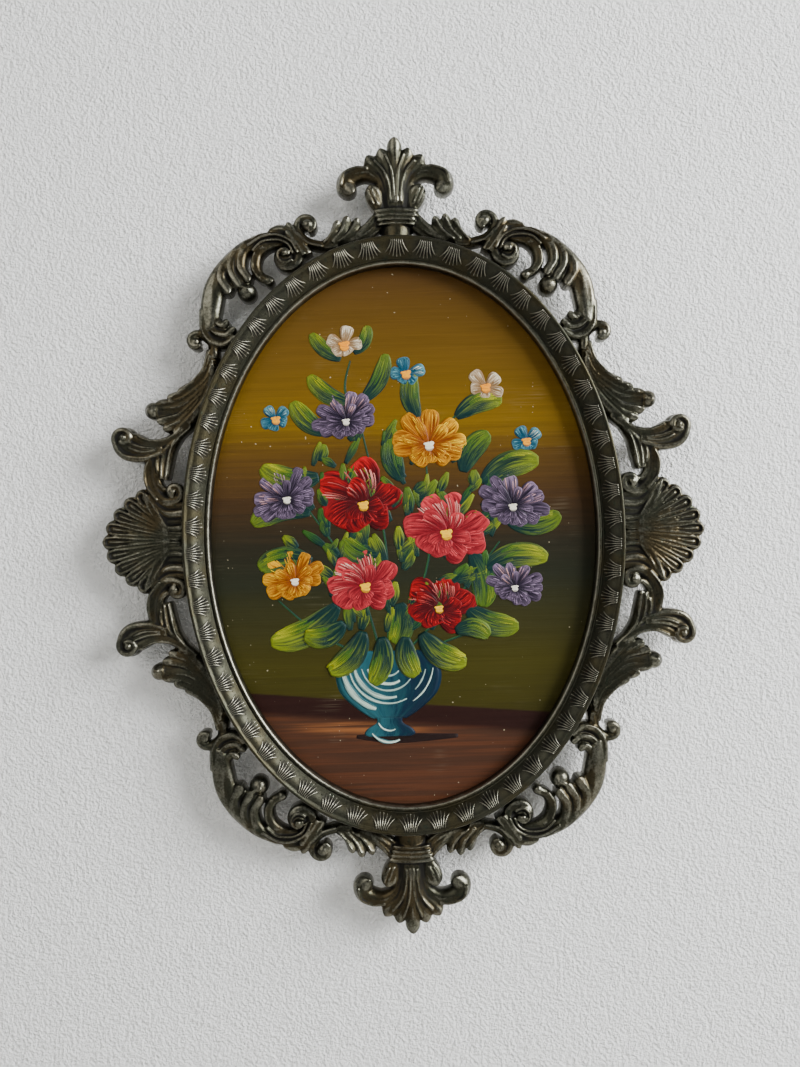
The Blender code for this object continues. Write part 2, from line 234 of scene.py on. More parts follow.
class Finish:
    """A material in the making: its net and its Principled shader."""

    def __init__(self, name: str) -> None:
        """Start a material of the given name."""
        self.made = bpy.data.materials.new(name)
        self.made.use_nodes = True
        self.net = Net(self.made.node_tree)
        self.shader = self.made.node_tree.nodes["Principled BSDF"]
        self.place = self.net.read("ShaderNodeTexCoord", "Object")

    def feed(self, **sockets: Union[float, Value, Colour]) -> None:
        """Set or link the shader's inputs; an underscore in a name stands for a space."""
        for name, given in sockets.items():
            socket = self.shader.inputs[name.replace("_", " ")]
            if isinstance(given, Value):
                self.net.tree.links.new(given.socket, socket)
            else:
                socket.default_value = (*given, 1.0) if isinstance(given, tuple) else given

    def attribute(self, name: str, output: str = "Fac") -> Value:
        """Read one of the mesh's own attributes."""
        return self.net.read("ShaderNodeAttribute", output, {"attribute_name": name})

    def bump(self, height: Value, depth: float) -> None:
        """Feed a bump of the given depth in metres."""
        sockets = {"Height": height, "Distance": depth, "Strength": 1.0}
        self.feed(Normal=self.net.read("ShaderNodeBump", "Normal", None, sockets))


@dataclass(frozen=True)
class PatinaAndPaintedLight:
    """Old dark patina on brass: a dull ground with warm clouds, hollows darkened by patina and by painted
    shade, and crests lightened by wear and by a painted highlight.
    """

    name: str
    deep: Colour = (0.0045, 0.0042, 0.0034)
    ground: Colour = (0.039, 0.039, 0.027)
    warm: Colour = (0.052, 0.041, 0.022)
    green: Colour = (0.030, 0.038, 0.026)
    rubbed_highlit: Colour = (0.29, 0.285, 0.225)
    roughness: float = 0.34
    grain_depth: float = 0.00006
    rub_highlight_start: float = 0.78
    rub_highlight_full: float = 1.3
    cloud_size: float = 0.014
    blot_size: float = 0.0035
    grain_size: float = 0.0007
    spot_size: float = 0.0022

    def material(self) -> bpy.types.Material:
        """Build the material; the mesh carries "proud" and "sunk", each from 0 to 1."""
        made = Finish(self.name)
        net = made.net
        proud, sunk = made.attribute("proud"), made.attribute("sunk")
        clouds = net.noise(made.place, self.cloud_size, 4.0)
        blots = net.noise(made.place, self.blot_size, 5.0)
        grain = net.noise(made.place, self.grain_size, 4.0, 0.65)
        spots = net.noise(made.place, self.spot_size, 2.0)
        # Darker where the mesh is sunk: dark patina in the hollows, together with painted shade where shade
        # falls there.
        dark = (sunk + (blots - 0.5) * 0.55 + (grain - 0.5) * 0.25).step(0.40, 0.92)
        # Lighter where the mesh stands proud: wear on the crests, together with a painted highlight on them.
        rub_highlight = (proud + (blots - 0.5) * 0.5 + (grain - 0.5) * 0.5).step(self.rub_highlight_start, self.rub_highlight_full)
        body = net.mix(clouds.step(0.42, 0.62), self.ground, self.warm)
        body = net.mix(spots.step(0.62, 0.74) * 0.7, body, self.green)
        body = net.mix((1.0 - grain.step(0.30, 0.52)) * 0.45, body, self.deep)
        body = net.mix(rub_highlight * 0.7, body, self.rubbed_highlit)
        body = net.mix(dark * 0.94, body, self.deep)
        made.feed(Base_Color=body, Specular_IOR_Level=0.18)
        made.feed(Metallic=1.0 - dark * 0.55)
        made.feed(Roughness=self.roughness + dark * 0.28 - rub_highlight * 0.10 + (grain - 0.5) * 0.25)
        made.bump(grain * 0.7 + blots * 0.6, self.grain_depth)
        return made.made


@dataclass(frozen=True)
class OilGround:
    """The painting's own ground: long level strokes from olive gold to near black, over a brown table."""

    name: str = "oil_ground"
    sky: tuple[tuple[float, Colour], ...] = (
        (-60.0, tone(46, 42, 8)),
        (-42.0, tone(52, 48, 10)),
        (-14.0, tone(32, 34, 22)),
        (-2.0, tone(34, 31, 20)),
        (12.0, tone(56, 38, 18)),
        (27.0, tone(76, 53, 14)),
        (37.0, tone(102, 76, 2)),
        (52.0, tone(92, 67, 6)),
        (88.0, tone(68, 46, 17)),
    )
    strip: Colour = tone(34, 16, 12)
    table: Colour = tone(60, 38, 26)
    table_red: Colour = tone(72, 42, 26)
    table_light: Colour = tone(128, 80, 44)
    dust: Colour = tone(196, 184, 150)
    board: Colour = tone(104, 78, 52)
    board_dark: Colour = tone(58, 42, 30)
    edge_height: float = -55.0
    edge_slope: float = -0.085
    strip_height: float = 6.5
    long_stroke: Point = (0.050, 0.0013)
    fine_stroke: Point = (0.020, 0.00042)
    broad_stroke: Point = (0.12, 0.010)
    speck_size: float = 0.0011
    patch_size: float = 0.016
    fibre_size: float = 0.0012
    paint_depth: float = 0.00006
    back_start: float = -0.0022

    def material(self) -> bpy.types.Material:
        """Build the material of the panel, its painted front and its bare back."""
        made = Finish(self.name)
        net = made.net
        across, depth, up = net.split(made.place)
        across, up = across / MM, up / MM
        long_strokes = self._strokes(made, *self.long_stroke)
        fine_strokes = self._strokes(made, *self.fine_stroke)
        broad = self._strokes(made, *self.broad_stroke)
        height = up + (long_strokes - 0.5) * 7.0 + (broad - 0.5) * 9.0
        low = self.sky[0][0]
        span = self.sky[-1][0] - low
        stops = [((place - low) / span, colour) for place, colour in self.sky]
        sky = net.read("ShaderNodeValToRGB", "Color", {"stops": stops}, {0: (height - low) / span})
        table = net.mix(long_strokes.step(0.40, 0.62), self.table, self.table_red)
        glow = ((across + 16.0) / 22.0) ** 2.0 + ((up + 64.0) / 2.6 + across * 0.02) ** 2.0
        glow = (1.0 - glow.step(0.0, 1.6)) * long_strokes.step(0.35, 0.65)
        table = net.mix(glow * 0.75, table, self.table_light)
        edge = up - (across * self.edge_slope + self.edge_height) + (fine_strokes - 0.5) * 0.9
        table = net.mix((edge + self.strip_height).step(-1.6, 1.2), table, self.strip)
        painted = net.mix(edge.step(-0.35, 0.35), table, sky)
        painted = net.mix(0.10, painted, self._ridges(net, fine_strokes), "OVERLAY")
        painted = net.mix(0.15, painted, self._ridges(net, long_strokes), "OVERLAY")
        specks = net.noise(made.place, self.speck_size, 1.0)
        patches = net.noise(made.place, self.patch_size, 2.0)
        dust = (specks + (patches - 0.5) * 0.16).step(0.775, 0.83)
        painted = net.mix(dust * 0.6, painted, self.dust)
        # A faint pale painted sheen in patches along the strokes, as of light glancing off the varnish.
        painted_sheen = patches.step(0.56, 0.80) * fine_strokes.step(0.45, 0.75)
        painted = net.mix(painted_sheen * 0.10, painted, self.dust)
        fibres = net.noise(net.vector("MULTIPLY", made.place, (1.0, 1.0, 0.06)), self.fibre_size, 5.0)
        bare = net.mix(fibres.step(0.35, 0.65), self.board_dark, self.board)
        back = depth.above(self.back_start)
        made.feed(Base_Color=net.mix(back, painted, bare), Specular_IOR_Level=0.12)
        made.feed(Roughness=0.36 + fine_strokes * 0.16 + dust * 0.3 + back * 0.35)
        made.bump(fine_strokes * 0.8 + long_strokes * 0.5 + dust * 0.9, self.paint_depth)
        return made.made

    @staticmethod
    def _strokes(made: Finish, length: float, width: float) -> Value:
        """Give level brush strokes of a length and width in metres."""
        stretched = made.net.vector("MULTIPLY", made.place, (width / length, 1.0, 1.0))
        return made.net.noise(stretched, width, 3.0)

    @staticmethod
    def _ridges(net: Net, strokes: Value) -> Value:
        """Turn strokes into a grey that lightens and darkens what is under it."""
        return net.grey(strokes.step(0.28, 0.72) * 0.5 + 0.25)


@dataclass(frozen=True)
class OilStroke:
    """Thick one-stroke brushwork: two tones drawn out together along the bristles."""

    name: str = "oil_strokes"
    bristle_depth: float = 0.00011
    bristle_size: float = 0.16
    hair_size: float = 0.06

    def material(self) -> bpy.types.Material:
        """Build the material; the mesh carries "dark", "light", "run" and the map "bristles"."""
        made = Finish(self.name)
        net = made.net
        along = net.read("ShaderNodeUVMap", "UV", {"uv_map": "bristles"})
        bristles = net.noise(along, self.bristle_size, 3.0, 0.6)
        hairs = net.noise(along, self.hair_size, 2.0, 0.6)
        run = made.attribute("run")
        light = (run + (bristles - 0.5) * 1.5 + (hairs - 0.5) * 0.7).step(0.18, 0.88)
        colour = net.mix(light, made.attribute("dark", "Color"), made.attribute("light", "Color"))
        shade = (bristles * 0.6 + hairs * 0.4).step(0.30, 0.66)
        painted = net.mix(0.8, colour, net.grey(shade * 0.46 + 0.27), "OVERLAY")
        made.feed(Base_Color=painted, Specular_IOR_Level=0.16)
        made.feed(Roughness=0.34 + shade * 0.14)
        made.bump(bristles * 0.7 + hairs * 0.5, self.bristle_depth)
        return made.made


@dataclass(frozen=True)
class Plaster:
    """Pale plaster with a fine tooth, for the backdrop and the floor."""

    name: str
    colour: Colour
    see_through_back: bool = False
    tooth_size: float = 0.0011
    swell_size: float = 0.004
    depth: float = 0.0014

    def material(self) -> bpy.types.Material:
        """Build the material."""
        made = Finish(self.name)
        net = made.net
        tooth = net.noise(made.place, self.tooth_size, 3.0, 0.6)
        swell = net.noise(made.place, self.swell_size, 3.0)
        made.feed(Base_Color=self.colour, Roughness=0.95, Specular_IOR_Level=0.1)
        made.bump(tooth * 1.5 + swell * 0.8, self.depth)
        if self.see_through_back:
            clear = net.node("ShaderNodeBsdfTransparent")
            away = net.read("ShaderNodeNewGeometry", "Backfacing")
            solid = Value(net, made.shader.outputs[0])
            sockets = {0: away, 1: solid, 2: Value(net, clear.outputs[0])}
            both = net.read("ShaderNodeMixShader", "Shader", None, sockets)
            output = net.tree.nodes["Material Output"]
            net.tree.links.new(both.socket, output.inputs["Surface"])
        return made.made


def new_object(name: str, mesh: bpy.types.Mesh) -> bpy.types.Object:
    """Put a mesh into the scene as an object at the origin."""
    made = bpy.data.objects.new(name, mesh)
    bpy.context.scene.collection.objects.link(made)
    return made


def mesh_of(name: str, body: bmesh.types.BMesh) -> bpy.types.Mesh:
    """Turn a bmesh into a mesh and free it."""
    mesh = bpy.data.meshes.new(name)
    body.to_mesh(mesh)
    body.free()
    return mesh


def keep(mesh: bpy.types.Mesh, label: str, values: Sequence[float]) -> None:
    """Keep a number for each point of a mesh."""
    mesh.attributes.new(label, "FLOAT", "POINT").data.foreach_set("value", values)


def turn_outward(mesh: bpy.types.Mesh, split: bool = False) -> None:
    """Turn every face of a mesh outward.

    Args:
        mesh: The mesh.
        split: Whether faces of more than four sides are split first.
    """
    body = bmesh.new()
    body.from_mesh(mesh)
    if split:
        bmesh.ops.triangulate(body, faces=[one for one in body.faces if len(one.verts) > 4])
    bmesh.ops.recalc_face_normals(body, faces=body.faces)
    body.to_mesh(mesh)
    body.free()


def settle(item: bpy.types.Object) -> None:
    """Turn an object and its live modifiers into a plain mesh."""
    seen = item.evaluated_get(bpy.context.evaluated_depsgraph_get())
    mesh = bpy.data.meshes.new_from_object(seen)
    item.modifiers.clear()
    old, item.data = item.data, mesh
    bpy.data.meshes.remove(old)


def geometry_net(name: str, inputs: dict[str, tuple[str, object]]) -> tuple[Net, dict[str, Value]]:
    """Start a geometry tree with named inputs.

    Args:
        name: The tree's name.
        inputs: Each input's socket type and first value, by its name.

    Returns:
        The net, and its inputs as values, with the geometry under "Geometry".
    """
    tree = bpy.data.node_groups.new(name, "GeometryNodeTree")
    tree.interface.new_socket("Geometry", in_out="INPUT", socket_type="NodeSocketGeometry")
    for label, (kind, first) in inputs.items():
        socket = tree.interface.new_socket(label, in_out="INPUT", socket_type=kind)
        if first is not None:
            socket.default_value = first
    tree.interface.new_socket("Geometry", in_out="OUTPUT", socket_type="NodeSocketGeometry")
    net = Net(tree)
    given = net.node("NodeGroupInput")
    return net, {socket.name: Value(net, socket) for socket in given.outputs if socket.name}


def end_geometry(net: Net, shape: Value, metal: Value) -> None:
    """End a geometry tree: make its instances real, set the material and give it out."""
    real = net.read("GeometryNodeRealizeInstances", "Geometry", None, {"Geometry": shape})
    dressed = net.read("GeometryNodeSetMaterial", "Geometry", None, {"Geometry": real, "Material": metal})
    net.node("NodeGroupOutput", None, {"Geometry": dressed})


def run_tree(item: bpy.types.Object, net: Net, values: dict[str, object]) -> None:
    """Run a geometry tree on an object with the given inputs, and keep the plain mesh."""
    used = item.modifiers.new(net.tree.name, "NODES")
    used.node_group = net.tree
    for socket in net.tree.interface.items_tree:
        if socket.in_out == "INPUT" and socket.name in values:
            used[socket.identifier] = values[socket.name]
    settle(item)


def smooth(points: Sequence[Point], steps: int = 6) -> list[Point]:
    """Run a smooth curve through points, each a tuple of numbers.

    Args:
        points: The points to pass through.
        steps: How many points to give for each stretch.

    Returns:
        The points of the curve.
    """
    made: list[Point] = []
    last = len(points) - 1
    for i in range(last):
        before, after = points[max(i - 1, 0)], points[min(i + 2, last)]
        for k in range(steps):
            t = k / steps
            made.append(tuple(
                b + t * ((c - a) + (2 * a - 5 * b + 4 * c - d) * t + (3 * b - a - 3 * c + d) * t * t) / 2
                for a, b, c, d in zip(before, points[i], points[i + 1], after)
            ))
    made.append(tuple(points[-1]))
    return made


def curl(
    start: Point, centre: Point, turn: float, end_radius: float, end_width: float, steps: int = 16
) -> list[Point]:
    """Wind a spiral round a centre.

    Args:
        start: Where it starts: x, z and half width.
        centre: What it winds round: x and z.
        turn: How far it turns, in degrees, anticlockwise.
        end_radius: How far from the centre it ends.
        end_width: Its half width at the end.
        steps: How many points to give.

    Returns:
        The points after the start: x, z and half width.
    """
    x, z, width = start
    radius = math.hypot(x - centre[0], z - centre[1])
    angle = math.atan2(z - centre[1], x - centre[0])
    made = []
    for k in range(1, steps + 1):
        t = k / steps
        r = radius + (end_radius - radius) * t
        a = angle + math.radians(turn) * t
        made.append(
            (centre[0] + r * math.cos(a), centre[1] + r * math.sin(a), width + (end_width - width) * t)
        )
    return made


@dataclass
class Relief:
    """Strands and balls of one quarter of the carving, gathered as a wire that a tree sweeps."""

    seat: tuple[float, float]
    drawn_oval: tuple[float, float] = (70.8, 96.2)
    places: list[Point] = field(default_factory=list)
    links: list[tuple[int, int]] = field(default_factory=list)
    widths: list[float] = field(default_factory=list)
    crests: list[float] = field(default_factory=list)
    dishes: list[float] = field(default_factory=list)
    domes: list[float] = field(default_factory=list)
    loose: list[float] = field(default_factory=list)

    def lay(self, x: float, z: float) -> Point:
        """Lay a drawn point round the real rim: at the same angle, and as far above the oval."""
        half_x, half_z = self.drawn_oval
        turn = math.atan2(x / half_x, z / half_z)
        rise = (math.hypot(x / half_x, z / half_z) - 1.0) * MM
        far_x, far_z = self.seat[0] + rise * half_x, self.seat[1] + rise * half_z
        return far_x * math.sin(turn), far_z * math.cos(turn)

    def _add(self, spot: Point, crest: float, dish: float, dome: float, loose: bool) -> None:
        """Add one point of the wire at a drawn x and z, with its half width."""
        x, z, width = spot
        px, pz = self.lay(x, z)
        self.places.append((px, 0.0, pz))
        self.widths.append(width * MM)
        self.crests.append(crest * MM)
        self.dishes.append(dish)
        self.domes.append(dome * MM)
        self.loose.append(1.0 if loose else 0.0)

    def strand(
        self, points: Sequence[Point], crest: Union[float, Point], dish: float = 0.0, steps: int = 6,
        dome: float = FREE_DOME,
    ) -> None:
        """Run one strand of relief with a round end.

        Args:
            points: Its course: x, z and half width at each point.
            crest: How high its crest stands, or that at its start and at its end.
            dish: How deep its middle is hollowed, from 0 to 1.
            steps: How many points to make of each stretch.
            dome: The most that its top may swell above its sides.
        """
        path = smooth(points, steps)
        path = path + self._round_end(path)
        first, last = crest if isinstance(crest, tuple) else (crest, crest)
        begin = len(self.places)
        for i, spot in enumerate(path):
            t = i / (len(path) - 1)
            self._add(spot, first + (last - first) * t, dish, dome, False)
        self.links += [(k, k + 1) for k in range(begin, len(self.places) - 1)]

    @staticmethod
    def _round_end(path: Sequence[Point]) -> list[Point]:
        """Give the points that close a path with a half round of its own width."""
        x, z, width = path[-1]
        along = Vector((x - path[-2][0], z - path[-2][1])).normalized()
        made = []
        for degrees in (22, 42, 58, 71, 81, 87):
            reach, half = width * math.sin(math.radians(degrees)), width * math.cos(math.radians(degrees))
            made.append((x + along.x * reach, z + along.y * reach, half))
        return made

    def ball(self, x: float, z: float, radius: float, crest: float) -> None:
        """Set a ball of relief at a drawn place."""
        self._add((x, z, radius), crest, 0.0, FREE_DOME, True)

    def wire(self, name: str) -> bpy.types.Object:
        """Gather the strands and balls as a wire mesh with their sizes on its points."""
        mesh = bpy.data.meshes.new(name)
        mesh.from_pydata(self.places, self.links, [])
        kept = {
            "half_width": self.widths, "crest": self.crests, "dish": self.dishes, "dome": self.domes,
            "loose": self.loose,
        }
        for label, values in kept.items():
            keep(mesh, label, values)
        return new_object(name, mesh)


def relief_tree() -> Net:
    """Build the tree that sweeps a wire into flat-backed strands and balls with round or dished tops.

    Returns:
        The net of the tree.
    """
    number, whole = "NodeSocketFloat", "NodeSocketInt"
    net, given = geometry_net("relief_sweep", {
        "Back plane": (number, 0.0), "Doming": (number, 1.0), "Dish depth": (number, 0.8),
        "Sides": (whole, 24), "Metal": ("NodeSocketMaterial", None),
    })

    def kept(label: str, kind: str = "FLOAT") -> Value:
        """Read a number kept on the wire."""
        return net.read("GeometryNodeInputNamedAttribute", "Attribute", {"data_type": kind}, {"Name": label})

    place = net.read("GeometryNodeInputPosition", "Position")
    settings = {"data_type": "FLOAT_VECTOR", "domain": "POINT"}
    sockets = {"Geometry": given["Geometry"], "Name": "centre", "Value": place}
    wire = net.read("GeometryNodeStoreNamedAttribute", "Geometry", settings, sockets)
    curve = net.read("GeometryNodeMeshToCurve", "Curve", None, {"Mesh": wire})
    ring = net.read(
        "GeometryNodeCurvePrimitiveCircle", "Curve", None, {"Resolution": given["Sides"], "Radius": 1.0}
    )
    sockets = {"Curve": curve, "Profile Curve": ring, "Scale": kept("half_width"), "Fill Caps": True}
    swept = net.read("GeometryNodeCurveToMesh", "Mesh", None, sockets)
    ball = net.read("GeometryNodeMeshUVSphere", "Mesh", None, {"Segments": 32, "Rings": 24, "Radius": 1.0})
    sockets = {
        "Points": wire, "Selection": kept("loose").above(0.5), "Instance": ball, "Scale": kept("half_width"),
    }
    balls = net.read("GeometryNodeInstanceOnPoints", "Instances", None, sockets)
    balls = net.read("GeometryNodeRealizeInstances", "Geometry", None, {"Geometry": balls})
    both = net.read("GeometryNodeJoinGeometry", "Geometry", None, {"Geometry": [swept, balls]})
    offset = net.vector("SUBTRACT", place, kept("centre", "FLOAT_VECTOR"))
    forward = -net.split(offset)[1] / kept("half_width")
    level = net.vector("MULTIPLY", offset, (1.0, 0.0, 1.0))
    across = net.vector("LENGTH", level, output="Value") / kept("half_width")
    dome = (kept("half_width") * given["Doming"]).at_most(kept("crest") * 0.9).at_most(kept("dome"))
    hollow = (1.0 - (across / 0.74) ** 2.0).at_least(0.0) * kept("dish") * given["Dish depth"]
    lift = kept("crest") - dome + dome * forward.at_least(0.0) - hollow * dome.at_most(kept("half_width"))
    front = forward.above(-0.01)
    spread = net.vector("SCALE", net.vector("NORMALIZE", level), kept("half_width"))
    wide = net.read(
        "ShaderNodeMix", "Result", {"data_type": "VECTOR"}, {"Factor": front, "A": spread, "B": level}
    )
    toward = net.read("ShaderNodeCombineXYZ", "Vector", None, {"Y": given["Back plane"] - lift * front})
    placed = net.vector("ADD", net.vector("ADD", kept("centre", "FLOAT_VECTOR"), wide), toward)
    shaped = net.read("GeometryNodeSetPosition", "Geometry", None, {"Geometry": both, "Position": placed})
    end_geometry(net, shaped, given["Metal"])
    return net


def mark_relief(mesh: bpy.types.Mesh, fine: float = 0.00005, broad: float = 0.0006) -> None:
    """Store on a mesh how proud and how sunk each point is, from 0 to 1.

    Args:
        mesh: The mesh to mark.
        fine: How far a point stands from its near neighbours to count in full.
        broad: How far it lies below its wider surroundings to count in full.
    """
    count = len(mesh.vertices)
    places = np.empty(count * 3)
    mesh.vertices.foreach_get("co", places)
    places = places.reshape(count, 3)
    normals = np.empty(count * 3)
    mesh.vertex_normals.foreach_get("vector", normals)
    normals = normals.reshape(count, 3)
    pairs = np.empty(len(mesh.edges) * 2, dtype=np.int64)
    mesh.edges.foreach_get("vertices", pairs)
    ends = np.concatenate((pairs[0::2], pairs[1::2]))
    others = np.concatenate((pairs[1::2], pairs[0::2]))
    shares = np.maximum(np.bincount(ends, minlength=count), 1)

    def averaged(values: np.ndarray, rounds: int) -> np.ndarray:
        """Average each point with its neighbours, a number of times."""
        for _ in range(rounds):
            sums = [
                np.bincount(ends, weights=values[others, k], minlength=count) for k in range(values.shape[1])
            ]
            values = np.stack(sums, axis=1) / shares[:, None]
        return values

    near = averaged(places, 3)
    wide = averaged(near, 36)
    stands = ((places - near) * normals).sum(axis=1)
    lies = ((wide - places) * normals).sum(axis=1)
    stands = averaged(stands[:, None], 1)[:, 0]
    marks = {
        "proud": 0.5 + 0.5 * np.tanh(stands / fine) - np.clip(lies / broad, -0.18, 0.5),
        "sunk": 0.30 + np.clip(lies / broad, -0.3, 0.7),
    }
    for label, values in marks.items():
        keep(mesh, label, np.clip(values, 0.0, 1.0).astype(np.float32))


def oval_disc(half: Point, front: float, back: float, steps: int, height: float = 0.0) -> bpy.types.Object:
    """Make an oval disc between two y planes, as a cutter or a boss.

    Args:
        half: Half its width and height.
        front: The y of its front.
        back: The y of its back.
        steps: How many sides it has.
        height: How far above the origin its centre is.

    Returns:
        The disc.
    """
    body = bmesh.new()
    bmesh.ops.create_cone(body, cap_ends=True, segments=steps, radius1=1.0, radius2=1.0, depth=1.0)
    for vert in body.verts:
        x, y, z = vert.co
        vert.co = (x * half[0], back if z > 0 else front, y * half[1] + height)
    body.normal_update()
    bmesh.ops.recalc_face_normals(body, faces=body.faces)
    return new_object("disc", mesh_of("disc", body))


def combine(target: bpy.types.Object, other: bpy.types.Object, operation: str) -> None:
    """Join or cut an object with another one, and remove that one."""
    used = target.modifiers.new(operation, "BOOLEAN")
    used.operation = operation
    used.solver = "MANIFOLD"
    used.object = other
    settle(target)
    bpy.data.objects.remove(other)


@dataclass
class OpenworkFrame:
    """The cast frame: scrollwork, shells, finials, the rim that carries the picture, and an eye."""

    seat: tuple[float, float]
    panel: tuple[float, float]
    fit_gap: float = 0.0003
    relief_back: float = 0.0026
    rim_back: float = 0.0006
    rim_front: float = 0.0060
    rim_wall: float = 0.0062
    eye_bore: float = 0.0035
    eye_wire: float = 0.0020
    eye_stand: float = 0.0044
    eye_pocket: float = 0.0022
    voxel: float = 0.00027
    quarter_triangles: int = 43000

    def build(self) -> bpy.types.Object:
        """Build the casting as one closed mesh."""
        metal = PatinaAndPaintedLight("cast_patina_painted_light").material()
        relief = Relief(self.seat)
        for carve in (
            self._finial, self._spray, self._c_scroll, self._side_leaf, self._side_volute, self._shell,
        ):
            carve(relief)
        casting = relief.wire("cast_openwork")
        run_tree(casting, relief_tree(), {"Back plane": -self.relief_back, "Metal": metal})
        self._join_rim(casting)
        self._fuse(casting)
        self._mirror(casting)
        self._cut(casting)
        mark_relief(casting.data)
        casting.data.shade_smooth()
        casting.data.materials.clear()
        casting.data.materials.append(metal)
        return casting

    def dress(self, casting: bpy.types.Object) -> None:
        """Say what the casting rides on, and hide the part that it stands for."""
        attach(casting, BODY)
        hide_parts("openwork_frame")

    def _join_rim(self, casting: bpy.types.Object) -> None:
        """Add a quarter of the carrying rim, run a little past both mirror planes."""
        inner = (self.panel[0] + self.fit_gap, self.panel[1] + self.fit_gap)
        chamfer = 0.0006
        section = [
            (0.0, -self.rim_back), (0.0, -self.rim_front), (self.rim_wall - chamfer, -self.rim_front),
            (self.rim_wall, -self.rim_front + chamfer), (self.rim_wall, -self.rim_back - chamfer),
            (self.rim_wall - chamfer, -self.rim_back),
        ]
        body = bmesh.new()
        body.from_mesh(casting.data)
        rings = []
        steps = 90
        for k in range(-2, steps + 3):
            a = math.pi / 2 * k / steps
            places = [
                ((inner[0] + out) * math.sin(a), y, (inner[1] + out) * math.cos(a)) for out, y in section
            ]
            rings.append([body.verts.new(place) for place in places])
        fresh = [body.faces.new(rings[0]), body.faces.new(list(reversed(rings[-1])))]
        for first, second in zip(rings, rings[1:]):
            for k in range(len(section)):
                n = (k + 1) % len(section)
                fresh.append(body.faces.new((first[k], second[k], second[n], first[n])))
        bmesh.ops.recalc_face_normals(body, faces=fresh)
        body.to_mesh(casting.data)
        body.free()

    def _fuse(self, casting: bpy.types.Object) -> None:
        """Fuse the strands into one body, soften it and thin it."""
        used = casting.modifiers.new("fuse", "REMESH")
        used.mode = "VOXEL"
        used.voxel_size = self.voxel
        used.use_smooth_shade = True
        used = casting.modifiers.new("soften", "SMOOTH")
        used.factor = 0.5
        used.iterations = 2
        settle(casting)
        used = casting.modifiers.new("thin", "DECIMATE")
        used.ratio = min(1.0, self.quarter_triangles / (2 * len(casting.data.polygons)))
        settle(casting)

    def _mirror(self, casting: bpy.types.Object) -> None:
        """Mirror the quarter into the whole, cut flat at both planes."""
        used = casting.modifiers.new("mirror", "MIRROR")
        used.use_axis = (True, False, True)
        used.use_bisect_axis = (True, False, True)
        used.use_clip = True
        used.bisect_threshold = 0.000001
        used.merge_threshold = 0.000002
        settle(casting)

    def _cut(self, casting: bpy.types.Object) -> None:
        """Cut the seats of the bezel and the panel, and add the hanging eye behind the collar."""
        far = 0.05
        clearance = (self.seat[0] + self.fit_gap, self.seat[1] + self.fit_gap)
        combine(casting, oval_disc(clearance, -far, -self.rim_front, 288), "DIFFERENCE")
        inner = (self.panel[0] + self.fit_gap, self.panel[1] + self.fit_gap)
        combine(casting, oval_disc(inner, -far, far, 288), "DIFFERENCE")
        height = inner[1] + self.rim_wall + self.eye_stand
        outer = self.eye_bore + self.eye_wire
        boss_back = -(self.rim_back + self.fit_gap)
        boss = oval_disc((outer, outer), -(self.relief_back + self.eye_wire), boss_back, 48, height)
        combine(casting, boss, "UNION")
        bore = oval_disc((self.eye_bore,) * 2, -(self.relief_back + self.eye_pocket), far, 48, height)
        combine(casting, bore, "DIFFERENCE")

    @staticmethod
    def _finial(cut: Relief) -> None:
        """Carve half of the finial: a tongue, lobes, a curled arm, an ear, and the collar."""
        cut.strand([(0, 104, 2.6), (0, 112, 3.4), (1.2, 118, 3.8), (2.4, 121.2, 3.2)], 3.8, dome=0.6)
        cut.strand([(1.6, 106, 1.6), (3.0, 114, 2.4), (6.2, 119.6, 2.8)], 3.8, dome=0.6)
        cut.strand(
            [(0, 106, 0.9), (0, 112, 0.9), (0, 118, 1.1), (0, 122.6, 1.9), (0, 126.2, 2.5)], (5.2, 5.9)
        )
        cut.strand([(1.1, 106, 0.8), (1.4, 113, 1.0), (2.2, 118.6, 1.6), (3.7, 122.8, 2.6)], (5.0, 5.5))
        cut.strand([(2.1, 106, 0.8), (2.5, 112, 1.0), (4.2, 117.4, 1.8), (7.1, 120.8, 2.9)], (5.0, 5.4))
        for course in (
            [(0.6, 108, 0.3), (0.7, 114, 0.32), (1.3, 118.6, 0.35), (2.9, 123.0, 0.35)],
            [(1.7, 108, 0.3), (2.0, 113, 0.32), (3.5, 117.6, 0.35), (6.3, 120.9, 0.4)],
        ):
            cut.strand(course, (5.5, 6.1))
        rise = [(2.9, 106, 1.0), (3.4, 111, 1.4), (5.2, 115.5, 1.9), (8.7, 117.9, 2.3), (12.2, 118.0, 2.7)]
        cut.strand(rise + [(15.3, 116.6, 3.1), (16.1, 114.4, 3.2), (15.5, 113.4, 3.0)], (4.6, 5.4))
        cut.strand(
            [(8.8, 119.2, 0.4), (12.4, 119.4, 0.5), (16.4, 117.6, 0.6), (17.6, 114.2, 0.6)], (5.2, 5.9)
        )
        cut.strand([(4.9, 105.4, 1.6), (6.4, 108.6, 2.5), (7.2, 111.0, 2.75)], (4.8, 5.6), dome=1.2)
        for shift in (-0.3, 1.1):
            cut.strand(
                [(6.0 + shift, 107.4, 0.3), (7.3 + shift, 110.2, 0.4), (7.9 + shift, 111.8, 0.4)], (5.5, 5.9)
            )
        neck = [
            (0, 93.0, 5.6), (0, 95.4, 5.0), (0, 98.0, 4.9), (0, 100.4, 5.3), (0, 102.6, 6.0), (0, 104.6, 6.3)
        ]
        cut.strand(neck, 5.0)
        for z, half, crest, thick in (
            (96.2, 5.5, 5.5, 0.4), (101.2, 5.9, 5.7, 0.45), (102.6, 6.3, 6.1, 0.55), (103.9, 6.8, 6.4, 0.55),
            (105.3, 7.2, 6.6, 0.65),
        ):
            ring = [
                (-2.0, z, thick), (0, z, thick), (half * 0.6, z - 0.1, thick), (half - thick, z - 0.3, thick)
            ]
            cut.strand(ring, (crest, crest - 1.3))

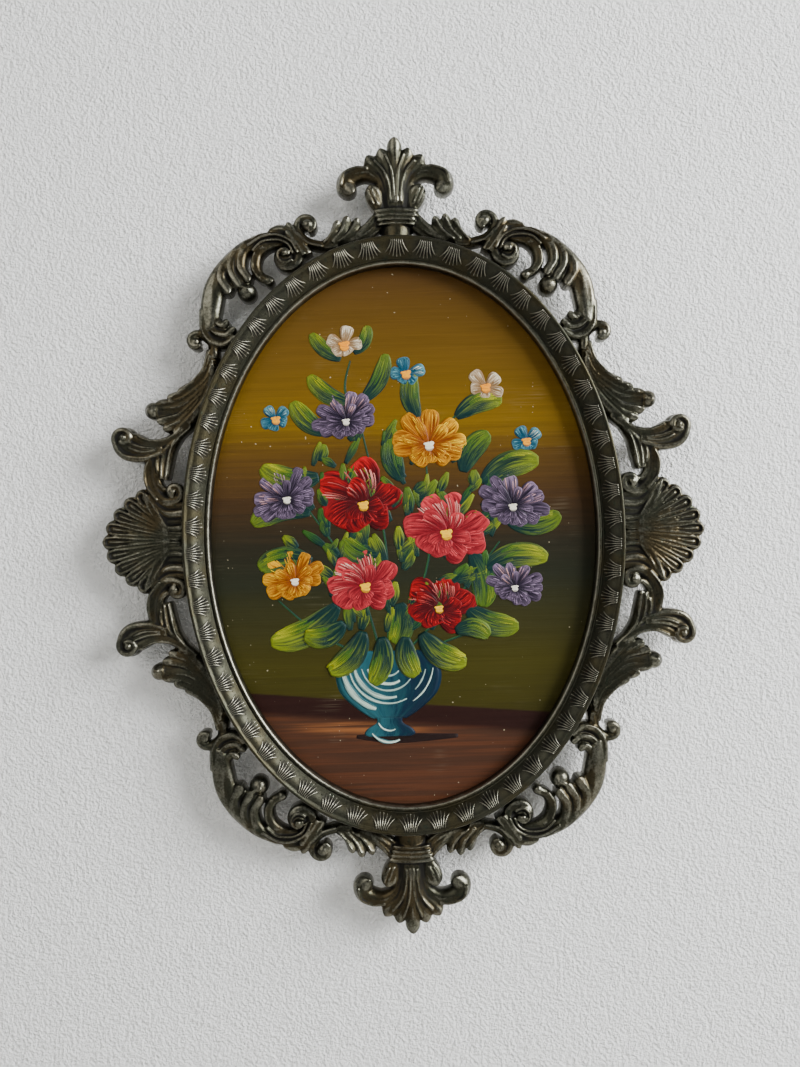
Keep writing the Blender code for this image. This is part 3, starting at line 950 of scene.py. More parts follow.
    @staticmethod
    def _spray(cut: Relief) -> None:
        """Carve the spray beside the collar: its stems, three lobes, the hooked volute and the clip."""
        for x, z, half, crest in ((6.2, 104.4, 1.0, 4.6), (5.6, 102.6, 1.0, 4.2), (5.2, 100.9, 1.1, 3.6)):
            drop = (104.4 - z) * 0.8
            course = [
                (x, z, half), (9.8 - drop * 0.3, 100.6 - drop, half + 0.1),
                (14.4, 97.4 - drop * 0.7, half + 0.1)
            ]
            cut.strand(course + [(19.4, 95.8 - drop * 0.2, half)], crest)
        lobes = (
            ((18.6, 95.8), (14.8, 98.0), (12.9, 101.8), 1.45),
            ((20.8, 95.6), (17.4, 98.6), (16.1, 102.3), 1.6),
            ((23.6, 95.4), (20.8, 97.6), (19.2, 101.1), 1.45),
        )
        for root, middle, tip, half in lobes:
            cut.strand([(*root, 1.2), (*middle, half - 0.1), (*tip, half)], (4.4, 5.6))
            cut.strand([(*root, 0.3), (middle[0] + 0.5, middle[1] + 0.4, 0.35), (*tip, 0.4)], (5.0, 6.0))
        volute = (32.1, 100.2, 1.25)
        band = [(19.0, 94.8, 1.3), (24.5, 95.0, 1.6), (29.4, 96.6, 1.5)]
        cut.strand(band + [volute] + curl(volute, (28.9, 101.3), 250, 2.0, 1.0), (4.4, 5.4), 0.15, 3)
        cut.ball(28.6, 101.4, 1.9, 5.8)
        cut.strand([(24.0, 94.2, 0.35), (28.8, 95.6, 0.4), (31.6, 98.4, 0.4)], 5.4)
        cut.strand([(28.3, 91.8, 1.3), (31.4, 96.4, 1.3), (34.6, 101.2, 1.2)], (5.6, 5.2))
        cut.strand([(29.8, 91.4, 0.8), (32.4, 95.0, 0.9), (35.0, 98.6, 0.9)], 6.0)
        clip = [(31.4, 94.2, 1.2), (33.8, 98.6, 1.6), (37.4, 100.3, 1.8), (39.9, 99.8, 1.5)]
        cut.strand(clip, (5.2, 4.6))

    @staticmethod
    def _c_scroll(cut: Relief) -> None:
        """Carve the large C scroll: its snail, lips, folds, spine, hollow belly, hem and ball."""
        start = (31.7, 92.0, 1.9)
        over = [(50.0, 93.8, 2.0), (45.0, 96.6, 2.3), (39.5, 97.6, 2.1), (34.4, 96.2, 1.9)]
        cut.strand(over + [start] + curl(start, (35.6, 91.3), 210, 2.6, 1.4), (5.4, 5.8), 0.18, 3)
        cut.ball(36.2, 91.6, 3.1, 5.6)
        cut.strand(
            [(33.8, 90.2, 0.5)] + curl((33.8, 90.2, 0.5), (36.2, 91.7), 330, 1.3, 0.5), (6.0, 6.6), 0.0, 3
        )
        cut.ball(36.2, 92.0, 1.1, 7.0)
        for shift, crest in ((0.0, 6.2), (1.5, 6.0)):
            inner = [(48.0 - shift, 94.6 - shift, 0.35), (43.4, 97.4 - shift, 0.4), (38.6, 98.0 - shift, 0.4)]
            cut.strand(
                inner + [(34.2 + shift * 0.6, 96.0 - shift * 0.6, 0.35), (32.0 + shift, 92.2, 0.3)], crest
            )
        lip = [(36.9, 95.9, 1.4), (41.4, 95.4, 1.7), (44.9, 92.6, 1.8), (45.8, 88.4, 1.8), (44.2, 85.2, 1.6)]
        cut.strand(lip + [(41.4, 83.8, 1.5)], (4.8, 5.4))
        cut.strand([(42.0, 95.5, 0.4), (45.8, 92.4, 0.5), (46.7, 88.0, 0.5), (44.8, 84.6, 0.45)], (5.2, 5.55))
        cut.ball(41.4, 83.5, 1.7, 5.6)
        folds = (
            ((45.4, 97.0), (49.6, 92.8), (50.4, 88.0), (48.6, 84.6), 1.75),
            ((48.6, 95.6), (52.8, 91.0), (53.4, 86.6), (51.6, 83.0), 1.8),
            ((51.6, 93.8), (56.0, 88.6), (56.9, 84.4), (55.2, 81.2), 2.1),
        )
        for first, second, third, last, half in folds:
            cut.strand([(*first, 1.3), (*second, half), (*third, half), (*last, half)], (5.4, 6.4))
            edge = [
                (first[0] + 0.7, first[1], 0.4), (second[0] + 0.8, second[1], 0.5),
                (third[0] + 0.8, third[1], 0.5)
            ]
            cut.strand(edge + [(last[0] + 0.6, last[1], 0.45)], (5.5, 6.35))
        cut.ball(48.8, 80.2, 3.1, 6.2)
        cut.strand([(51.6, 82.6, 0.8), (49.8, 81.4, 0.7), (48.4, 80.8, 0.6)], (6.0, 6.6))
        spine = [
            (43.0, 98.2, 1.2), (50.0, 94.8, 1.6), (56.4, 88.9, 1.9), (60.6, 82.4, 1.9), (62.2, 75.6, 1.7)
        ]
        cut.strand(spine + [(61.6, 69.4, 1.6)], (5.2, 5.5))
        cut.strand(
            [(54.5, 89.6, 2.0), (58.4, 83.6, 3.0), (60.0, 77.6, 3.3), (60.6, 71.4, 2.8)], 5.6, dome=2.0
        )
        cut.strand([(61.2, 74.0, 2.6), (60.0, 68.6, 3.2), (57.4, 65.8, 3.0)], 4.4, dome=1.2)
        paw = (
            ((63.0, 75.0), (62.9, 68.8), (60.6, 64.8), (56.6, 63.4), (53.8, 64.9), 1.6),
            ((61.6, 75.6), (61.1, 70.4), (58.8, 67.4), (55.6, 66.6), (53.8, 67.7), 1.5),
            ((60.2, 76.4), (59.5, 72.4), (57.8, 70.2), (56.6, 69.6), (55.8, 70.2), 1.3),
        )
        for *course, half in paw:
            cut.strand([(*point, half) for point in course], (5.0, 5.6))
            cut.strand([(x + 0.5, z - 0.5, 0.34) for x, z in course], (5.2, 5.75))

    @staticmethod
    def _side_leaf(cut: Relief) -> None:
        """Carve the side leaf: its hooked curl, stem, seven fronds with veins, and the ball."""
        start = (63.4, 66.6, 1.3)
        hook = [(59.8, 59.0, 1.6), (60.3, 63.6, 1.5)]
        cut.strand(hook + [start] + curl(start, (65.4, 64.5), -230, 1.6, 1.1, 12), (4.8, 5.4), 0.0, 4)
        cut.ball(65.9, 64.3, 1.6, 5.4)
        cut.strand(
            [(60.6, 64.6, 1.4), (60.2, 59.0, 2.1), (61.4, 53.0, 2.7), (64.6, 47.4, 3.2), (69.6, 43.2, 3.4)],
            4.2
        )
        cut.strand([(62.6, 52.0, 3.0), (67.4, 46.8, 4.2), (73.4, 42.4, 4.2)], 4.3, dome=1.4)
        fronds = (
            ((61.6, 61.8), (63.0, 55.4), (66.4, 51.0), (70.4, 48.6), 1.4),
            ((61.0, 60.0), (62.8, 53.6), (68.2, 48.4), (73.6, 46.5), 1.6),
            ((60.4, 58.4), (62.4, 51.4), (69.4, 45.8), (77.2, 44.2), 1.9),
            ((60.0, 56.4), (62.8, 49.4), (69.8, 43.4), (78.4, 42.2), 1.9),
            ((60.6, 54.4), (63.6, 47.4), (70.2, 41.0), (77.0, 39.2), 1.8),
            ((61.2, 52.4), (64.4, 45.4), (69.8, 39.2), (75.2, 36.8), 1.7),
            ((60.0, 55.0), (62.8, 46.0), (67.2, 40.0), (72.2, 36.0), 1.6),
        )
        for k, (root, first, second, tip, half) in enumerate(fronds):
            crest = (4.7, 5.8 - 0.1 * k)
            cut.strand([(*root, 0.7), (*first, half * 0.8), (*second, half), (*tip, half)], crest)
            vein = [
                (*root, 0.25), (first[0] + 0.4, first[1] + 0.5, 0.28), (second[0] + 0.4, second[1] + 0.7, 0.3)
            ]
            cut.strand(vein + [(tip[0] - 0.6, tip[1] + 0.6, 0.3)], (4.9, crest[1] + 0.15))
        cut.ball(80.0, 42.4, 2.8, 6.2)
        cut.ball(80.7, 42.0, 1.1, 6.7)
        rib = [(59.4, 56.5, 1.1), (61.6, 48.0, 1.2), (65.2, 41.0, 1.3), (69.4, 36.4, 1.4), (74.2, 32.8, 1.5)]
        cut.strand(rib, 4.2)

    @staticmethod
    def _side_volute(cut: Relief) -> None:
        """Carve the side volute, its hanging leaf and the small C scroll above the shell."""
        upper = [
            (68.0, 37.6, 1.3), (72.4, 34.2, 1.6), (77.0, 31.9, 1.7), (81.6, 31.6, 1.7), (85.6, 33.4, 1.9)
        ]
        cut.strand(upper, (4.8, 5.2))
        cut.strand([(70.4, 36.4, 0.35), (75.6, 33.2, 0.4), (80.8, 32.7, 0.4), (84.6, 34.2, 0.4)], (5.2, 5.8))
        cut.strand([(77.5, 29.8, 1.8), (83.6, 29.4, 2.6), (88.2, 30.8, 3.2)], 5.0, dome=1.6)
        cut.ball(90.0, 33.3, 4.3, 5.2)
        start = (92.4, 32.2, 1.2)
        band = [(77.5, 28.6, 1.0), (83.0, 27.0, 1.2), (88.4, 27.5, 1.3), (91.2, 29.4, 1.3)]
        cut.strand(band + [start] + curl(start, (89.7, 33.7), 320, 1.5, 0.7, 18), (5.3, 6.1), 0.0, 3)
        cut.ball(89.6, 33.8, 1.0, 6.5)
        for lift, crest in ((1.4, 5.4), (2.9, 5.3)):
            course = [(79.4, 28.6 + lift * 0.5, 0.3), (84.0, 27.8 + lift, 0.36), (87.6, 29.0 + lift, 0.36)]
            cut.strand(course, (crest, crest + 0.4))
        leaf = (
            ((70.8, 35.0), (74.2, 30.4), (75.6, 25.6), (76.4, 20.8), 1.4),
            ((73.0, 33.0), (76.4, 29.2), (77.6, 25.0), (77.8, 21.2), 1.4),
            ((75.4, 31.0), (78.2, 28.2), (79.2, 25.4), (79.0, 23.0), 1.3),
        )
        for root, first, second, tip, half in leaf:
            cut.strand([(*root, 1.0), (*first, half), (*second, half), (*tip, half * 0.8)], (4.4, 5.0))
            cut.strand([(*root, 0.3), (*first, 0.32), (*second, 0.32), (*tip, 0.3)], (4.9, 5.4))
        start = (72.5, 13.8, 1.4)
        band = [(78.6, 29.4, 1.5), (81.4, 25.4, 1.9), (81.7, 20.4, 2.2), (79.9, 15.4, 2.2), (76.2, 12.9, 1.8)]
        cut.strand(band + [start] + curl(start, (73.9, 15.9), -290, 1.2, 0.9), (5.0, 5.5), 0.12, 3)
        cut.ball(74.2, 15.9, 1.2, 5.8)
        cut.strand([(79.2, 27.0, 0.9), (79.9, 22.0, 1.0), (78.4, 18.0, 1.0), (76.2, 16.4, 0.9)], 4.6)
        cut.strand([(80.8, 27.4, 0.35), (83.0, 23.0, 0.4), (82.6, 18.0, 0.4), (79.4, 13.4, 0.36)], (5.1, 5.5))

    @staticmethod
    def _shell(cut: Relief) -> None:
        """Carve half of the shell: a flange, filled flutes within raised loops, and the folds beside them."""
        lobes = ((97.0, 0.0), (95.8, 4.7), (93.2, 9.2), (89.6, 13.0), (85.4, 15.8))
        for x, z in lobes:
            waist = z * 0.24
            middle = waist + (z - waist) * 0.46
            tip = Vector((x, z))
            root = Vector((76.0, waist * 0.98))
            reach = (tip - root).normalized()
            side = Vector((-reach.y, reach.x))
            centre = tip - reach * 1.9
            inner = [(69.5, waist * 0.8, 1.3), (77.0, waist, 1.3), (86.0 - z * 0.2, middle, 1.8)]
            cut.strand(inner + [(*centre, 2.8)], (3.4, 3.2), dome=0.4)
            cut.strand(inner + [(*centre, 1.7)], (4.1, 4.5), dome=0.3)
            loop = []
            for t, wide in ((0.0, 0.3), (0.35, 0.6), (0.7, 1.15), (0.92, 1.55)):
                place = root.lerp(centre, t) + side * wide
                loop.append((place.x, place.y, 0.38))
            for degrees in (60, 30, 0):
                a = math.radians(degrees)
                place = centre + (reach * math.cos(a) + side * math.sin(a)) * 1.55
                loop.append((place.x, place.y, 0.42))
            back = [(place - root) for place in (Vector(point[:2]) for point in reversed(loop[:-1]))]
            flipped = [root + one - side * (2 * one.dot(side)) for one in back]
            cut.strand(loop + [(*one, 0.4) for one in flipped], 5.1)
            vein = [(*root.lerp(centre, t), 0.3) for t in (0.05, 0.35, 0.7, 0.98)]
            cut.strand(vein, (5.0, 4.9))
        for k in range(3):
            z = 0.5 + 1.0 * k
            cut.strand([(69.6, z * 0.9, 0.45), (73.6, z, 0.5), (78.6, z * 1.15, 0.4)], (5.2, 4.9))
        edge = [(69.8, 4.6, 1.1), (75.2, 4.2, 1.0), (79.0, 5.8, 1.0), (81.6, 10.0, 1.0), (83.2, 14.6, 1.1)]
        cut.strand(edge, (5.0, 5.3))
        cut.strand([(69.8, 6.8, 1.4), (75.6, 6.2, 1.5), (79.6, 8.6, 1.5), (81.8, 13.0, 1.2)], 4.4)
        cut.strand([(69.8, 9.4, 1.5), (75.6, 8.9, 1.6), (79.2, 10.9, 1.5), (81.2, 14.8, 0.9)], 4.7)
        cut.strand([(69.8, 11.8, 1.2), (75.6, 11.0, 1.2), (79.0, 12.6, 1.0)], 4.2)
        cut.strand([(76.0, 5.0, 2.0), (80.6, 7.4, 2.6), (83.6, 11.6, 2.6)], 3.2, dome=0.6)


@dataclass
class OvalBezel:
    """The pressed ring over the picture's edge: a lip with a painted highlight, a band of palmettes and a
    rolled edge.
    """

    opening: tuple[float, float]
    panel: tuple[float, float]
    panel_front: float
    rim_front: float = 0.0060
    fit_gap: float = 0.0003
    recess: float = 0.0036
    lip_width: float = 0.0016
    lip_rise: float = 0.0007
    band_width: float = 0.0064
    band_dome: float = 0.0009
    outer_rise: float = 0.0039
    roll_radius: float = 0.0006
    palmettes: int = 58
    band_rows: int = 16
    cell_width: float = 8.6
    cell_steps: int = 8
    ribs: int = 7
    rib_half_width: float = 0.22
    rib_height: float = 0.44
    fan_half_width: float = 3.4
    fan_middle: float = 0.58
    fan_reach: float = 0.42

    def build(self) -> bpy.types.Object:
        """Build the ring: one cell of it in mesh code, and the row of cells by a tree."""
        # The rubbed colour also gives the painted highlight on the lip, the roll and the ribs' crests.
        metal = PatinaAndPaintedLight(
            "pressed_patina_painted_light", ground=(0.041, 0.041, 0.029), warm=(0.048, 0.042, 0.023),
            rubbed_highlit=(0.36, 0.345, 0.275), rub_highlight_start=0.62, rub_highlight_full=1.15, roughness=0.40,
        ).material()
        ring = new_object("pressed_bezel", self._cell())
        half_x, half_z = self.opening
        sizes = {"Count": self.palmettes, "Half width": half_x, "Half height": half_z, "Metal": metal}
        run_tree(ring, self._row_tree(), sizes)
        turn_outward(ring.data)
        ring.data.shade_smooth()
        return ring

    def dress(self, ring: bpy.types.Object) -> None:
        """Say what the ring rides on, and hide the part that it stands for."""
        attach(ring, BODY)
        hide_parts("oval_bezel")

    def _band(self, share: float) -> Point:
        """Give the band's outward place and its y, a share of the way from the lip to the roll."""
        lip_front = self.panel_front - self.recess
        reach = self.band_width - 2 * self.roll_radius
        swell = self.band_dome * math.sin(math.pi * share)
        return self.lip_width + reach * share, lip_front - self.outer_rise * share - swell

    def _between(self, out: float) -> float:
        """Say how far, from 0 to 1, a place outwards lies among the ribs of the palmettes."""
        share = (out - self.lip_width) / (self.band_width - 2 * self.roll_radius)
        return max(0.0, 1.0 - ((share - self.fan_middle) / self.fan_reach) ** 4)

    def _section(self) -> list[tuple[float, float, float]]:
        """Work out the ring's section: outward place, y, and how rubbed and highlit it is there."""
        skirt = self.panel_front - self.fit_gap
        lip_front = self.panel_front - self.recess
        crest = lip_front - self.outer_rise
        # The skirt's middle is lightened: a painted highlight on the inner wall.
        made = [(0.0, skirt, 0.2), (0.0, (skirt + lip_front) / 2, 0.7)]
        for k in range(7):
            a = math.pi * k / 6
            out = self.lip_width * (1 - math.cos(a)) / 2
            # The lip's inner slope is lightened all round: a painted highlight.
            rubbed_highlit = 0.30 + 0.80 * max(0.0, math.cos(a * 0.7))
            made.append((out, lip_front - self.lip_rise * math.sin(a), rubbed_highlit))
        centre = self.lip_width + self.band_width - self.roll_radius
        for k in range(1, self.band_rows):
            made.append((*self._band(k / self.band_rows), 0.20))
        for k in range(8):
            a = math.radians(150 - 25.0 * k)
            out = centre + self.roll_radius * math.cos(a)
            # The roll's outer side is lightened: a painted highlight, with some wear.
            rubbed_highlit = 0.30 + 0.68 * max(0.0, math.cos(a))
            made.append((out, crest - self.roll_radius * math.sin(a), rubbed_highlit))
        step = self.panel[0] - self.opening[0]
        seat = -self.rim_front - self.fit_gap
        made += [
            (centre + self.roll_radius * 0.6, seat, 0.2), (step, seat, 0.2), (step - self.fit_gap, skirt, 0.2)
        ]
        return made

    def _rib(self, lean: float) -> list[Point]:
        """Draw one rib of the fan from the roll inwards: along and across the band, in mm."""
        width = (self.band_width - 2 * self.roll_radius) / MM
        root = Vector((lean * 1.55, width - 0.05))
        bend = Vector((lean * 1.75, width * 0.56))
        tip = Vector((lean * 3.7, width * (0.10 + 0.22 * lean * lean)))
        made = []
        for k in range(9):
            t = k / 8
            made.append(tuple(root * (1 - t) ** 2 + bend * (2 * t * (1 - t)) + tip * t * t))
        return made

    def _cell(self) -> bpy.types.Mesh:
        """Build one cell of the ring with its fan of ribs, unrolled: x from 0 to 1, z outwards."""
        body = bmesh.new()
        proud = body.verts.layers.float.new("proud")
        sunk = body.verts.layers.float.new("sunk")

        def put(along: float, out: float, y: float, rubbed_highlit: float, hollow: float) -> bmesh.types.BMVert:
            """Add a point with its marks."""
            vert = body.verts.new((along / self.cell_width + 0.5, y, out))
            vert[proud], vert[sunk] = rubbed_highlit, hollow
            return vert

        def skin(rings: list[list[bmesh.types.BMVert]], closed: bool) -> None:
            """Skin rings of points, and cap both ends where they are closed off."""
            for first, second in zip(rings, rings[1:]):
                for j in range(len(first)):
                    n = (j + 1) % len(first)
                    body.faces.new((first[j], first[n], second[n], second[j]))
            if closed:
                body.faces.new(rings[0])
                body.faces.new(list(reversed(rings[-1])))

        section = self._section()
        rings = []
        for k in range(self.cell_steps + 1):
            along = self.cell_width * (k / self.cell_steps - 0.5)
            fan = max(0.0, 1.0 - (along / self.fan_half_width) ** 4)
            # Darker among the fan's ribs: painted shade between them.
            rings.append([
                put(along, out, y, rubbed_highlit, 0.47 + 0.36 * fan * self._between(out)) for out, y,
                rubbed_highlit in section
            ])
        skin(rings, False)
        width = (self.band_width - 2 * self.roll_radius) / MM
        middle = (self.ribs - 1) / 2
        for k in range(self.ribs):
            path = self._rib((k - middle) / middle)
            rings = []
            for i, (along, across) in enumerate(path):
                before, after = path[max(i - 1, 0)], path[min(i + 1, len(path) - 1)]
                course = Vector((after[0] - before[0], after[1] - before[1])).normalized()
                fade = min(1.0, (len(path) - 1 - i) / 3)
                ring = []
                for aside, lift in ((-1.0, -0.25), (-0.6, 0.7), (0.0, 1.0), (0.6, 0.7), (1.0, -0.25)):
                    reach = self.rib_half_width * aside * (
                        0.75 + 0.5 * math.sin(math.pi * i / (len(path) - 1))
                    )
                    out, y = self._band((across + course.x * reach) / width)
                    height = self.rib_height * lift * fade
                    # Rib crests lighter from wear and a painted highlight; their sides darker, painted shade.
                    rubbed_highlit = 0.35 + 0.70 * max(lift, 0.0)
                    ring.append(
                        put(along - course.y * reach, out, y - height * MM, rubbed_highlit, 0.55 - 0.3 * lift)
                    )
                rings.append(ring)
            skin(rings, True)
        return mesh_of("bezel_cell", body)

    @staticmethod
    def _row_tree() -> Net:
        """Build the tree that repeats a cell and bends the row round the oval."""
        number = "NodeSocketFloat"
        net, given = geometry_net("palmette_row", {
            "Count": ("NodeSocketInt", 58), "Half width": (number, 0.06), "Half height": (number, 0.09),
            "Metal": ("NodeSocketMaterial", None),
        })
        line = net.read(
            "GeometryNodeMeshLine", "Mesh", None, {"Count": given["Count"], "Offset": (1.0, 0.0, 0.0)}
        )
        cells = net.read(
            "GeometryNodeInstanceOnPoints", "Instances", None, {"Points": line, "Instance": given["Geometry"]}
        )
        strip = net.read("GeometryNodeRealizeInstances", "Geometry", None, {"Geometry": cells})
        place = net.read("GeometryNodeInputPosition", "Position")
        x, y, z = net.split(place)
        circle = net.read(
            "GeometryNodeCurvePrimitiveCircle", "Curve", None, {"Resolution": 1440, "Radius": 1.0}
        )
        turned = {"X": x * given["Half width"], "Z": y * given["Half height"]}
        on_oval = net.read("ShaderNodeCombineXYZ", "Vector", None, turned)
        oval = net.read(
            "GeometryNodeSetPosition", "Geometry", None, {"Geometry": circle, "Position": on_oval}
        )
        found = net.node("GeometryNodeSampleCurve", None, {"Curves": oval, "Factor": x / given["Count"]})
        base, tangent = Value(net, found.outputs["Position"]), Value(net, found.outputs["Tangent"])
        outward = net.vector("CROSS_PRODUCT", (0.0, 1.0, 0.0), tangent)
        rise = net.read("ShaderNodeCombineXYZ", "Vector", None, {"Y": y})
        placed = net.vector("ADD", net.vector("ADD", base, net.vector("SCALE", outward, z)), rise)
        ring = net.read("GeometryNodeSetPosition", "Geometry", None, {"Geometry": strip, "Position": placed})
        ring = net.read(
            "GeometryNodeMergeByDistance", "Geometry", None, {"Geometry": ring, "Distance": 0.00002}
        )
        end_geometry(net, ring, given["Metal"])
        return net


class Run(Enum):
    """Which way a stroke's dark tone turns to its light one."""

    ALONG = "from its root to its tip"
    ACROSS = "from one side to the other"
    MIDDLE = "from both sides to its middle"


@dataclass
class BrushWork:
    """Brush strokes laid on the panel's face and gathered into one mesh."""

    face: float
    chance: random.Random
    sink: float = 0.00006
    rows: tuple[float, ...] = (0.0, 0.06, 0.22, 0.5, 0.78, 0.94, 1.0)
    fine_rows: tuple[float, ...] = (0.0, 0.25, 0.5, 0.75, 1.0)
    fine_half: float = 0.6
    places: list[Point] = field(default_factory=list)
    faces: list[Sequence[int]] = field(default_factory=list)
    darks: list[Colour] = field(default_factory=list)
    lights: list[Colour] = field(default_factory=list)
    runs: list[float] = field(default_factory=list)
    maps: list[Point] = field(default_factory=list)

    def stroke(
        self, spine: Sequence[Point], dark: Colour, light: Colour, run: Run, level: float, lift: float = 0.16,
        steps: int = 5,
    ) -> None:
        """Lay one stroke.

        Args:
            spine: Its course: x, z and half width at each point, in mm.
            dark: Its dark tone.
            light: Its light tone.
            run: Which way the one turns to the other.
            level: How far above the face it lies, in mm.
            lift: How thick the paint stands in its middle, in mm.
            steps: How many points to make of each stretch.
        """
        path = smooth(spine, steps)
        begin = len(self.places)
        rows = self.rows if max(point[2] for point in spine) > self.fine_half else self.fine_rows
        width = len(rows)
        shift = (self.chance.uniform(0, 40), self.chance.uniform(0, 40))
        for i, (x, z, half) in enumerate(path):
            before, after = path[max(i - 1, 0)], path[min(i + 1, len(path) - 1)]
            along = Vector((after[0] - before[0], after[1] - before[1])).normalized()
            t = i / (len(path) - 1)
            border = i in (0, len(path) - 1)
            for u in rows:
                side = (2 * u - 1) * max(half, 0.05)
                edge = border or u in (0.0, 1.0)
                crown = 1.0 - (2 * u - 1) ** 4
                thick = (level + lift * (0.35 + 0.65 * crown)) * MM
                y = self.face + self.sink if edge else self.face - thick
                self.places.append(((x - along.y * side) * MM, y, (z + along.x * side) * MM))
                self.runs.append({Run.ALONG: t, Run.ACROSS: u, Run.MIDDLE: 1.0 - abs(2 * u - 1)}[run])
                self.darks.append(dark)
                self.lights.append(light)
                self.maps.append((shift[0] + u * 1.6, shift[1] + t * 0.22))
        for i in range(len(path) - 1):
            for k in range(width - 1):
                a = begin + i * width + k
                self.faces.append((a, a + width, a + width + 1, a + 1))
        last = len(path) - 1
        rim = [begin + k for k in range(width)]
        rim += [begin + i * width + width - 1 for i in range(1, last)]
        rim += [begin + last * width + k for k in reversed(range(width))]
        rim += [begin + i * width for i in reversed(range(1, last))]
        self.faces.append(rim)

    def mesh(self, name: str) -> bpy.types.Mesh:
        """Gather the strokes into a mesh with its tones and its map."""
        mesh = bpy.data.meshes.new(name)
        mesh.from_pydata(self.places, [], self.faces)
        for label, tones in (("dark", self.darks), ("light", self.lights)):
            flat = [part for colour in tones for part in (*colour, 1.0)]
            mesh.attributes.new(label, "FLOAT_COLOR", "POINT").data.foreach_set("color", flat)
        keep(mesh, "run", self.runs)
        corners = mesh.uv_layers.new(name="bristles").data
        flat = [part for loop in mesh.loops for part in self.maps[loop.vertex_index]]
        corners.foreach_set("uv", flat)
        return mesh


class Bloom(Enum):
    """The kinds of blossom in the bunch."""

    ASTER = "a purple-grey aster"
    MARIGOLD = "an orange-yellow marigold"
    ROSE = "a red rose"
    PINK_ROSE = "a pink rose"
    STARLET = "a small white and blue star"
    CREAM_STARLET = "a small cream star"


@dataclass(frozen=True)
class BloomForm:
    """How one kind of blossom is painted: its rings of petals, tones and heart."""

    petals: int
    rings: int
    width: float
    dark: Colour
    light: Colour
    tip: Colour
    heart: Colour
    heart_share: float
    curved: float = 0.0


BLOOM_FORMS = {
    Bloom.ASTER: BloomForm(
        12, 2, 0.22, tone(22, 14, 30), tone(134, 114, 140), tone(214, 160, 150), tone(220, 214, 196), 0.10
    ),
    Bloom.MARIGOLD: BloomForm(
        10, 2, 0.26, tone(112, 52, 0), tone(228, 170, 0), tone(238, 194, 0), tone(232, 222, 196), 0.11
    ),
    Bloom.ROSE: BloomForm(
        6, 2, 0.44, tone(58, 3, 8), tone(180, 12, 18), tone(234, 146, 132), tone(232, 168, 14), 0.11, 0.9
    ),
    Bloom.PINK_ROSE: BloomForm(
        8, 2, 0.34, tone(104, 10, 22), tone(206, 66, 70), tone(238, 184, 166), tone(234, 176, 14), 0.12, 0.7
    ),
    Bloom.STARLET: BloomForm(
        5, 1, 0.40, tone(6, 58, 78), tone(96, 150, 158), tone(222, 224, 200), tone(232, 148, 8), 0.24
    ),
    Bloom.CREAM_STARLET: BloomForm(
        5, 1, 0.42, tone(120, 92, 60), tone(226, 216, 188), tone(240, 236, 216), tone(232, 140, 14), 0.24
    ),
}


@dataclass(frozen=True)
class Turn:
    """Where a blossom stands and how it is turned; places are in mm."""

    x: float
    z: float
    squash: float
    tilt: float
    curve: float

    def lay(self, angle: float, away: float) -> Point:
        """Give the place at an angle and a distance from the blossom's heart."""
        px, pz = math.cos(angle) * away, math.sin(angle) * away * self.squash
        cos, sin = math.cos(self.tilt), math.sin(self.tilt)
        return self.x + px * cos - pz * sin, self.z + px * sin + pz * cos


